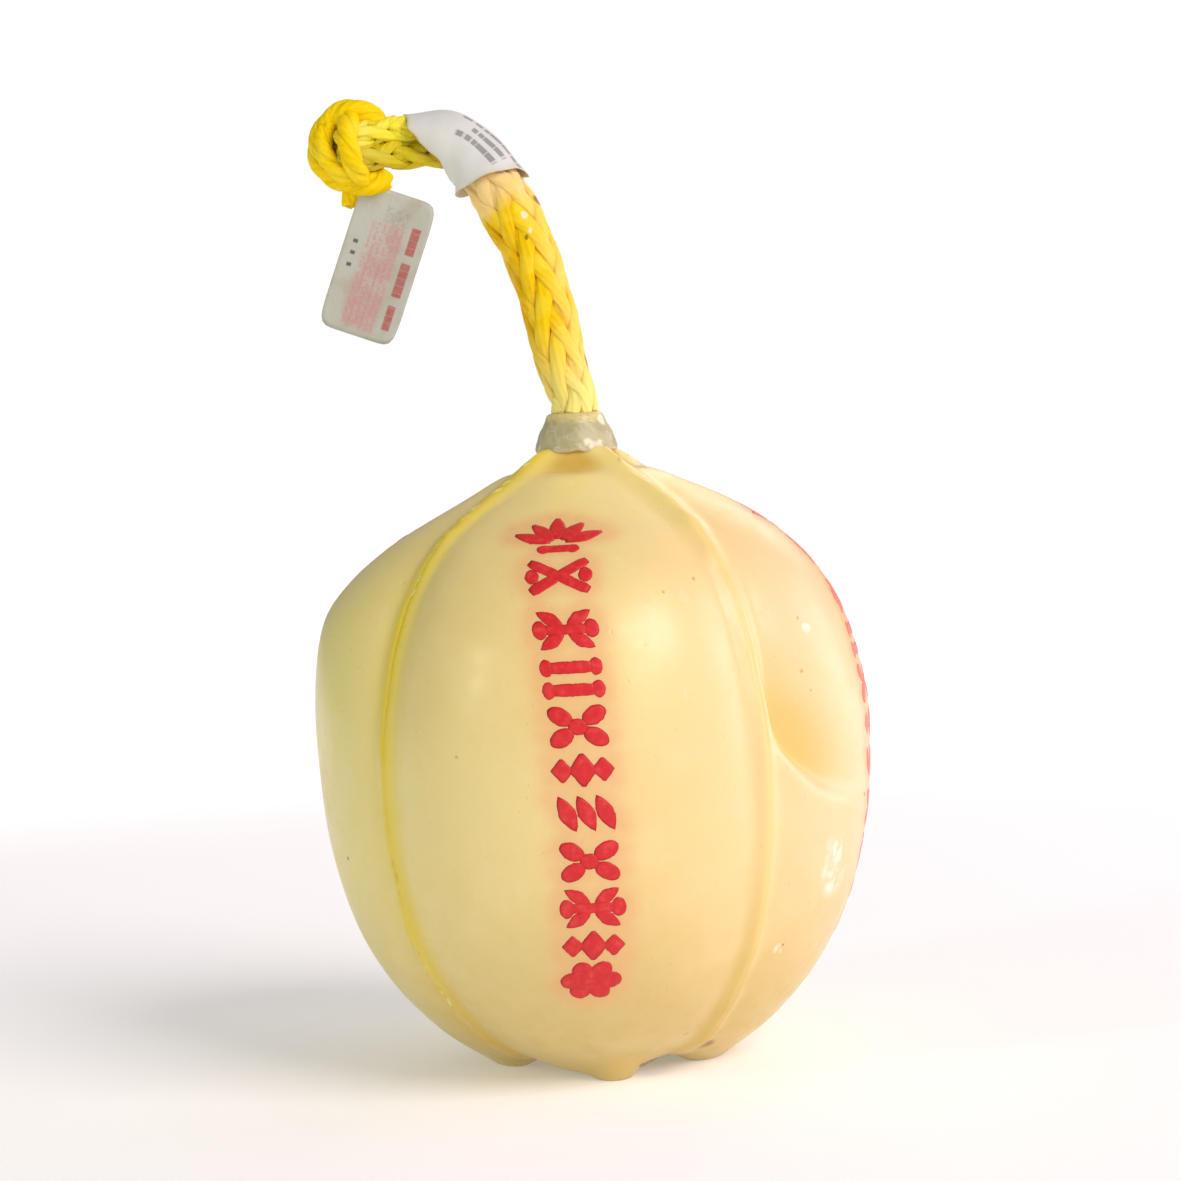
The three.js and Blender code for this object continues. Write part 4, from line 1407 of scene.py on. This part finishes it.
# %% Roll the label
LABEL_FAR_ANGLES = [-180, -150, -130, -115, -95, -55, 0, 55, 95, 115, 130, 150, 180]
LABEL_FAR_EDGE = [0.745, 0.81, 0.87, 0.905, 0.93, 0.955, 0.962, 0.96, 0.935, 0.905, 0.87,
                  0.81, 0.745]
LABEL_NEAR_ANGLES = [-180, -135, -100, -70, -35, 0, 35, 70, 100, 135, 180]
LABEL_NEAR_EDGE = [0.715, 0.702, 0.69, 0.678, 0.662, 0.64, 0.667, 0.677, 0.69, 0.70, 0.715]
LABEL_RADIUS, PAPER = 11.5 * MM, 0.3 * MM
LABEL_ROWS, LABEL_COLUMNS = 48, 96
# Lines of print: millimetres round the label, and from where to where along it.
LABEL_LINES = [(4.6, 3.0, 27.0), (9.4, 8.0, 22.5), (13.8, 8.0, 27.0), (-16.0, 5.0, 20.0),
               (-21.0, 8.0, 17.0)]


def label_paint():
    paint = Paint("label_paper", IOR=1.4, Sheen_Weight=0.1)
    along, around = paint.attribute("label_along"), paint.attribute("label_around")
    fibres, stains = paint.noise(0.5 * MM, 4, 0.7), paint.noise(12 * MM, 4)
    words = paint.node("ShaderNodeTexNoise", {"noise_dimensions": "1D"},
                       {"W": along, "Scale": 620.0, "Detail": 1.0})
    words = paint.step(Wire(paint, words.outputs["Fac"]), 0.36, 0.44)
    rows = 0.0
    for middle, first, last in LABEL_LINES:
        line = paint.step((around - middle * MM).size(), 1.35 * MM, 0.9 * MM)
        half = (last - first) / 2 * MM
        inside = paint.step((along - (first + last) / 2 * MM).size(), half, half / 1.05)
        rows = line * inside + rows
    colour = paint.mix(paint.step(stains, 0.4, 0.75) * 0.5, tint(214, 216, 210),
                       tint(204, 202, 189))
    colour = paint.mix(rows * (0.25 + 0.75 * words) * (0.6 + 0.3 * fibres), colour,
                       tint(118, 116, 118))
    colour = paint.mix(paint.attribute("label_rim") * 0.45, colour, tint(206, 190, 140))
    return paint.finish(colour, 0.5 + 0.3 * fibres, fibres + 2 * stains, 0.12 * MM)


def build_label():
    around = np.linspace(-180, 180, LABEL_COLUMNS, endpoint=False)
    near = np.interp(around, LABEL_NEAR_ANGLES, LABEL_NEAR_EDGE)
    near = near + 0.0018 * np.sin(np.radians(around * 5))
    far = np.interp(around, LABEL_FAR_ANGLES, LABEL_FAR_EDGE)
    far = far + 0.0025 * np.sin(np.radians(around * 7 + 40))
    part = np.linspace(0, 1, LABEL_ROWS)[:, None]
    share = near + (far - near) * part
    turn = np.radians(around)[None, :] + 0 * share
    edge = np.minimum(part, 1 - part) + 0 * share
    # Past the plait the paper pinches in on the two cords, and it lifts a little at its rims.
    pinch = 1 - rise_between(0.84, 0.98, share) * (0.16 + 0.1 * np.abs(np.sin(turn)))
    pinch = pinch * (1 + 0.15 * rise_between(0.45, 0.0, part) * (0.7 - 0.3 * np.cos(turn)))
    waves = 0.18 * MM * np.sin(3 * turn + 60 * share)
    waves = waves + 0.3 * MM * bump(edge / 0.05) * np.sin(2 * turn + 1)
    shells = [on_handle(share, turn, (LABEL_RADIUS + waves) * pinch + lift)
              for lift in (0.0, PAPER)]
    inner, outer = (shell.reshape(-1, 3) for shell in shells)
    count = len(inner)
    faces = grid_faces(LABEL_ROWS, LABEL_COLUMNS)
    faces += [face[::-1] for face in grid_faces(LABEL_ROWS, LABEL_COLUMNS, count)]
    for start in (0, count - LABEL_COLUMNS):
        for k in range(LABEL_COLUMNS):
            a, b = start + k, start + (k + 1) % LABEL_COLUMNS
            rim = (a, a + count, b + count, b)
            faces.append(rim if start == 0 else rim[::-1])
    along = np.tile(((share - 0.64) * handle_length).ravel(), 2)
    wrapped = np.tile((turn * LABEL_RADIUS).ravel(), 2)
    marks = {"label_along": along, "label_around": wrapped,
             "label_rim": np.tile(bump(edge / 0.04).ravel(), 2)}
    return make_piece("rolled_label", np.concatenate([inner, outer]), faces, label_paint(),
                      marks=marks)


rolled_label = build_label()
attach(rolled_label, "root")
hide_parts("paper_label")
print("label:", len(rolled_label.data.polygons), "faces")

# %% [markdown]
# ## The knot
#
# The handle's cords are tied off in a fist-shaped knot. Each visible turn of it is one
# rope along its own smooth line: a ring over the top, round the left and back below, one
# turn that comes down in front, one on the left and one behind, the cut tail below, and
# the two cords that run in from the handle. A short thick turn fills the middle, as the
# hidden parts of the real knot do.

# %% Tie the knot
KNOT_BRIGHT, KNOT_DEEP, KNOT_WAX = tint(252, 212, 0), tint(222, 174, 0), tint(252, 220, 36)
KNOT_TURNS = {
    "ring": [(-64, 17, 347.5), (-67.5, 14.5, 351.5), (-72.5, 13, 354.6), (-78, 13, 355.4),
             (-83, 14, 353), (-87.2, 15, 348.4), (-89, 15, 342), (-87.6, 14.4, 336),
             (-83, 13.2, 331.6), (-76.5, 12.4, 329.4), (-69.5, 12.6, 328.6), (-65.4, 15, 330.8)],
    "front_turn": [(-77, 19, 353.2), (-77, 10, 352), (-77.8, 3.4, 347.5), (-77.4, 1.6, 341.5),
                   (-75.9, 3.2, 335.8), (-74, 9.6, 331), (-73.6, 16, 329.6)],
    "left_turn": [(-76, 19, 352), (-84.6, 12.5, 349.6), (-87, 8.0, 343.5), (-85.4, 6.0, 337.4),
                  (-80.4, 6.6, 332.4), (-74, 11, 330)],
    "back_turn": [(-66, 20.5, 349), (-73, 23, 350), (-80, 22.5, 346), (-81.5, 22, 339),
                  (-76, 22, 333.5), (-68, 20.5, 334)],
    "middle": [(-66, 16, 343), (-72, 16.5, 342), (-78, 16.5, 343), (-83, 15.5, 342)],
    "tail": [(-75.5, 15, 336), (-77, 16.2, 330.5), (-78.6, 16.8, 325), (-79.8, 16.6, 320.8)],
    "upper_entry": [(-58, 16.6, 348.3), (-64, 14.4, 348), (-70, 11, 347), (-76, 8.2, 345.2),
                    (-81, 8.8, 343.6)],
    "lower_entry": [(-58, 16.6, 338.8), (-64, 13.6, 338.8), (-70, 10, 338.2), (-76, 7.8, 338),
                    (-81, 8.8, 338.6)],
}
# How thick a turn is, in millimetres, and what share of that is left at its end.
KNOT_THICK = 9.6
KNOT_SHAPES = {"middle": (12.5, 1.0), "back_turn": (9.2, 1.0), "tail": (9.0, 0.62),
               "left_turn": (7.2, 1.0), "front_turn": (8.0, 1.0)}
KNOT_STEP = 0.7 * MM


def tie_turn(name, number):
    thick, end = KNOT_SHAPES.get(name, (KNOT_THICK, 1.0))
    points = turned(MM * np.array(KNOT_TURNS[name], float))
    _, length = even_steps(points, 50)
    line, _ = even_steps(points, round(length / KNOT_STEP))
    share = np.linspace(0, 1, len(line))
    rounded_ends = 0.35 + 0.65 * rise_between(0, 0.1, np.minimum(share, 1.12 - share))
    thickness = thick / KNOT_THICK * (1 + (end - 1) * share) * rounded_ends
    if name.endswith("entry"):
        finish = cord_finishes[name.removesuffix("_entry")]
        return ROPE.make("turn", line, thickness, Seed=20 + number, Rope_Material=finish,
                         Unevenness=0.25 * MM, **CORD_MAKE)
    return ROPE.make("turn", line, thickness, Strands=3, Seed=20 + number,
                     Rope_Material=knot_finish, Ring_Radius=1.75 * MM, Strand_Width=3.35 * MM,
                     Strand_Height=3.05 * MM, Pitch=-30 * MM, Two_Ways=0.0, Weave=0.0,
                     Unevenness=0.3 * MM)


knot_finish = rope_paint("knot_yarn", KNOT_BRIGHT, KNOT_DEEP, KNOT_WAX, 0.4, 7 * MM, yarns=6)
tied_knot = join("tied_knot", [tie_turn(name, number) for number, name in enumerate(KNOT_TURNS)])
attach(tied_knot, "root")
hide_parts("handle_knot")
print("knot:", len(tied_knot.data.polygons), "faces")

# %% [markdown]
# ## The hanging tag
#
# A small sheet of greyish plastic hangs in the knot's slot. It is a rounded rectangle
# with a slight bow. Its faded print is a block of pink lines under a grey smudge, a red
# strip of bars along one edge and three dark dots: a generic layout that says nothing.

# %% Cut and print the tag
TAG_WIDTH, TAG_LENGTH, TAG_THICK = 29.2 * MM, 55.4 * MM, 0.9 * MM
TAG_MIDDLE = (-70 * MM, 14.2 * MM, 298.6 * MM)
TAG_LEAN = math.radians(-21.5)
TAG_BOW, TAG_WAVE = 0.7 * MM, 0.3 * MM
TAG_RINGS, TAG_EDGE = 14, 96
TAG_POWER = 9.0  # of its outline, a superellipse: the higher, the sharper the corners


def tag_paint():
    paint = Paint("tag_plastic", IOR=1.46, Coat_Roughness=0.3, Subsurface_Weight=0.2,
                  Subsurface_Radius=(1.0, 1.0, 0.9), Subsurface_Scale=2 * MM)
    across, down = paint.attribute("tag_across"), paint.attribute("tag_down")
    scratches, dirt = paint.noise(2.2 * MM, 4, 0.6, (3, 1, 0.6)), paint.noise(10 * MM, 4)
    fine = paint.noise(1.1 * MM, 2)

    def between(place, low, high, soft):
        """1 from one place to another in millimetres, with soft ends."""
        half = (high - low) / 2
        away = (place - (low + high) / 2 * MM).size()
        return paint.step(away, (half + soft) * MM, (half - soft) * MM)

    def field(left, right, top, bottom, soft=0.3):
        """1 inside a box, in millimetres from the tag's middle."""
        return between(across, left, right, soft) * between(down, top, bottom, soft)

    colour = paint.mix(paint.step(dirt, 0.35, 0.7), tint(183, 185, 172), tint(173, 169, 150))
    stripes = paint.step((across * (2 * math.pi / (2.3 * MM))).sine(), 0.1, 0.7)
    lines = stripes * field(-6.5, 5.5, -15, 25) * paint.step(fine, 0.36, 0.5)
    colour = paint.mix(lines * 0.3, colour, tint(186, 112, 112))
    blotches = field(-7, 6.0, -16, 25, 1.5) * paint.step(fine + dirt, 0.7, 1.3)
    colour = paint.mix(blotches * 0.7, colour, tint(194, 138, 138))
    heading = field(-3, 6.5, -22, -16, 0.6) * paint.step(fine, 0.4, 0.6)
    colour = paint.mix(heading * 0.28, colour, tint(130, 124, 120))
    bars = field(8.2, 11.6, -17, -6.5) + field(8.2, 11.8, -3.5, 9.5) + field(8.4, 11.4, 13, 22.5)
    gaps = paint.step((down * (2 * math.pi / (2.9 * MM))).sine(), -1.0, -0.7)
    colour = paint.mix(bars * (0.75 + 0.25 * gaps) * (0.55 + 0.4 * fine), colour, tint(170, 52, 50))
    dots = field(-11.4, -9.6, -6.6, -5.2) + field(-11.2, -9.4, -2.2, -0.8)
    dots = dots + field(-11.2, -9.4, 2.4, 3.8)
    colour = paint.mix(dots * 0.85, colour, tint(50, 50, 52))
    coat = 0.4 * paint.step(dirt, 0.7, 0.4)
    return paint.finish(colour, 0.3 + 0.3 * scratches, scratches, 0.15 * MM, coat)


def tag_edge():
    """Places along a rounded rectangle, from the middle of it."""
    turn = np.linspace(0, 2 * math.pi, TAG_EDGE, endpoint=False)
    reach = superellipse(turn, TAG_WIDTH / 2, TAG_LENGTH / 2, TAG_POWER)
    return reach * np.cos(turn), reach * np.sin(turn)


def build_tag():
    x, y = tag_edge()
    shares = np.linspace(1, 0, TAG_RINGS + 1)[:-1, None]
    across, down = shares * x, shares * y
    across, down = np.append(across, 0), np.append(down, 0)
    bow = TAG_BOW * np.cos(across / TAG_WIDTH * math.pi) - TAG_BOW / 2
    bow = bow + TAG_WAVE * np.sin(down / TAG_LENGTH * 5)
    sides = []
    for depth in (-TAG_THICK / 2, TAG_THICK / 2):
        lean_x = across * math.cos(TAG_LEAN) + down * math.sin(TAG_LEAN)
        lean_z = across * math.sin(TAG_LEAN) - down * math.cos(TAG_LEAN)
        sides.append(turned(np.stack([lean_x, bow + depth, lean_z], axis=-1) + TAG_MIDDLE))
    count = len(across)
    faces = []
    for first, flip in ((0, False), (count, True)):
        skin_faces = grid_faces(TAG_RINGS, TAG_EDGE, first)
        middle = first + count - 1
        pole = pole_faces(list(range(middle - TAG_EDGE, middle)), middle)
        faces += [f[::-1] for f in skin_faces + pole] if flip else skin_faces + pole
    faces += [((k + 1) % TAG_EDGE, k, k + count, (k + 1) % TAG_EDGE + count)
              for k in range(TAG_EDGE)]
    marks = {"tag_across": np.tile(across, 2), "tag_down": np.tile(down, 2)}
    return make_piece("hanging_tag", np.concatenate(sides), faces, tag_paint(), marks=marks)


hanging_tag = build_tag()
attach(hanging_tag, "root")
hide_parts("plastic_tag")
print("tag:", len(hanging_tag.data.polygons), "faces")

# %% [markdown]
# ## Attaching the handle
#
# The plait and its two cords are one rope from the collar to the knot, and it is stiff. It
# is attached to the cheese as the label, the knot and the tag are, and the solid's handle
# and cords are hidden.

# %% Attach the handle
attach(handle, "root")
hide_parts("rope_handle", "cord_upper", "cord_lower")

# %% [markdown]
# ## Floor and light
#
# The cheese stands on a plain white floor in an even white room. A large soft window,
# slightly rosy, models the lobes from the front right. Two tall narrow lights draw the
# long highlights down the wax, and a second window on the right and a light behind pick
# out the edges.

# %% Light it
FLOOR_SIZE = 12.0
WHITE = (1.0, 1.0, 1.0, 1.0)
SUN = {"azimuth": 54, "elevation": 36, "strength": 1.93, "softness": 34,
       "colour": (1.0, 0.87, 0.91)}
ROOM_LIGHT, SEEN_LIGHT, FLOOR_GLOW = 0.28, 1.0, 0.5
GLOW_NEAR = 0.4  # the floor glows less round the cheese, which then keeps a soft shadow
LIGHTS = {
    "left_strip": {"place": (-1.2, -0.9, 0.66), "size": (0.14, 0.5), "watts": 3.3,
                   "colour": (0.92, 1.0, 0.84)},
    "right_strip": {"place": (0.95, -1.2, 0.65), "size": (0.14, 0.7), "watts": 2.2,
                    "colour": (1.0, 0.95, 0.95)},
    "right_window": {"place": (1.35, 0.55, 0.35), "size": (0.9, 1.1), "watts": 7,
                     "colour": (1.0, 0.78, 0.98)},
    "back": {"place": (0.4, 1.6, 1.1), "size": (1.2, 0.8), "watts": 5, "colour": (1.0, 0.97, 0.92)},
}
LIT_POINT = Vector((0, 0, 0.13))


def floor_paint():
    paint = Paint("pale_floor", Roughness=0.9, Emission_Strength=FLOOR_GLOW)
    clouds = paint.noise(0.8, 3)
    far = 1 - paint.spot((0, 0, 0), 1.0)
    glow = GLOW_NEAR + (1 - GLOW_NEAR) * far
    paint.feed(paint.surface.inputs["Emission Color"], paint.mix(glow, (0, 0, 0, 1), WHITE))
    return paint.finish(paint.mix(clouds, tint(246, 246, 244), tint(250, 250, 249)))


def add_light(name, data, colour, place):
    data.color = colour
    lamp = bpy.data.objects.new(name, data)
    lamp.location = place
    lamp.rotation_euler = (LIT_POINT - lamp.location).to_track_quat("-Z", "Y").to_euler()
    bpy.context.scene.collection.objects.link(lamp)


def light_room():
    world = bpy.data.worlds.new("white_room")
    bpy.context.scene.world = world
    world.use_nodes = True
    room = Nodes(world.node_tree)
    seen = Wire(room, room.node("ShaderNodeLightPath").outputs["Is Camera Ray"])
    background = world.node_tree.nodes["Background"]
    background.inputs["Color"].default_value = WHITE
    room.feed(background.inputs["Strength"], ROOM_LIGHT + (SEEN_LIGHT - ROOM_LIGHT) * seen)
    sun = bpy.data.lights.new("window", "SUN")
    sun.energy, sun.angle = SUN["strength"], math.radians(SUN["softness"])
    turn, rise = math.radians(SUN["azimuth"]), math.radians(SUN["elevation"])
    ahead = Vector((math.sin(turn) * math.cos(rise), -math.cos(turn) * math.cos(rise),
                    math.sin(rise)))
    add_light("window", sun, SUN["colour"], LIT_POINT + 2 * ahead)
    for name, facts in LIGHTS.items():
        data = bpy.data.lights.new(name, "AREA")
        data.shape, data.energy = "RECTANGLE", facts["watts"]
        data.size, data.size_y = facts["size"]
        add_light(name, data, facts["colour"], Vector(facts["place"]))
    bpy.context.scene.view_settings.view_transform = "Standard"


half = FLOOR_SIZE / 2
floor = make_piece("floor",
                   [(-half, -half, 0), (half, -half, 0), (half, half, 0), (-half, half, 0)],
                   [(0, 1, 2, 3)], floor_paint(), smooth=False)
floor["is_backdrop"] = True
light_room()
print("lights: the window", *LIGHTS)

# %% [markdown]
# ## Sizes
#
# The sizes of the box round the solid and round the dressed cheese are printed side by side.
# The dressed cheese has to fill the same box as the solid one.

# %% Compare and finish
shown_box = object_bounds()
for name, box in (("solid", cad_box), ("dressed", shown_box)):
    print(name, [round((high - low) / MM, 1) for low, high in zip(*box)], "mm")
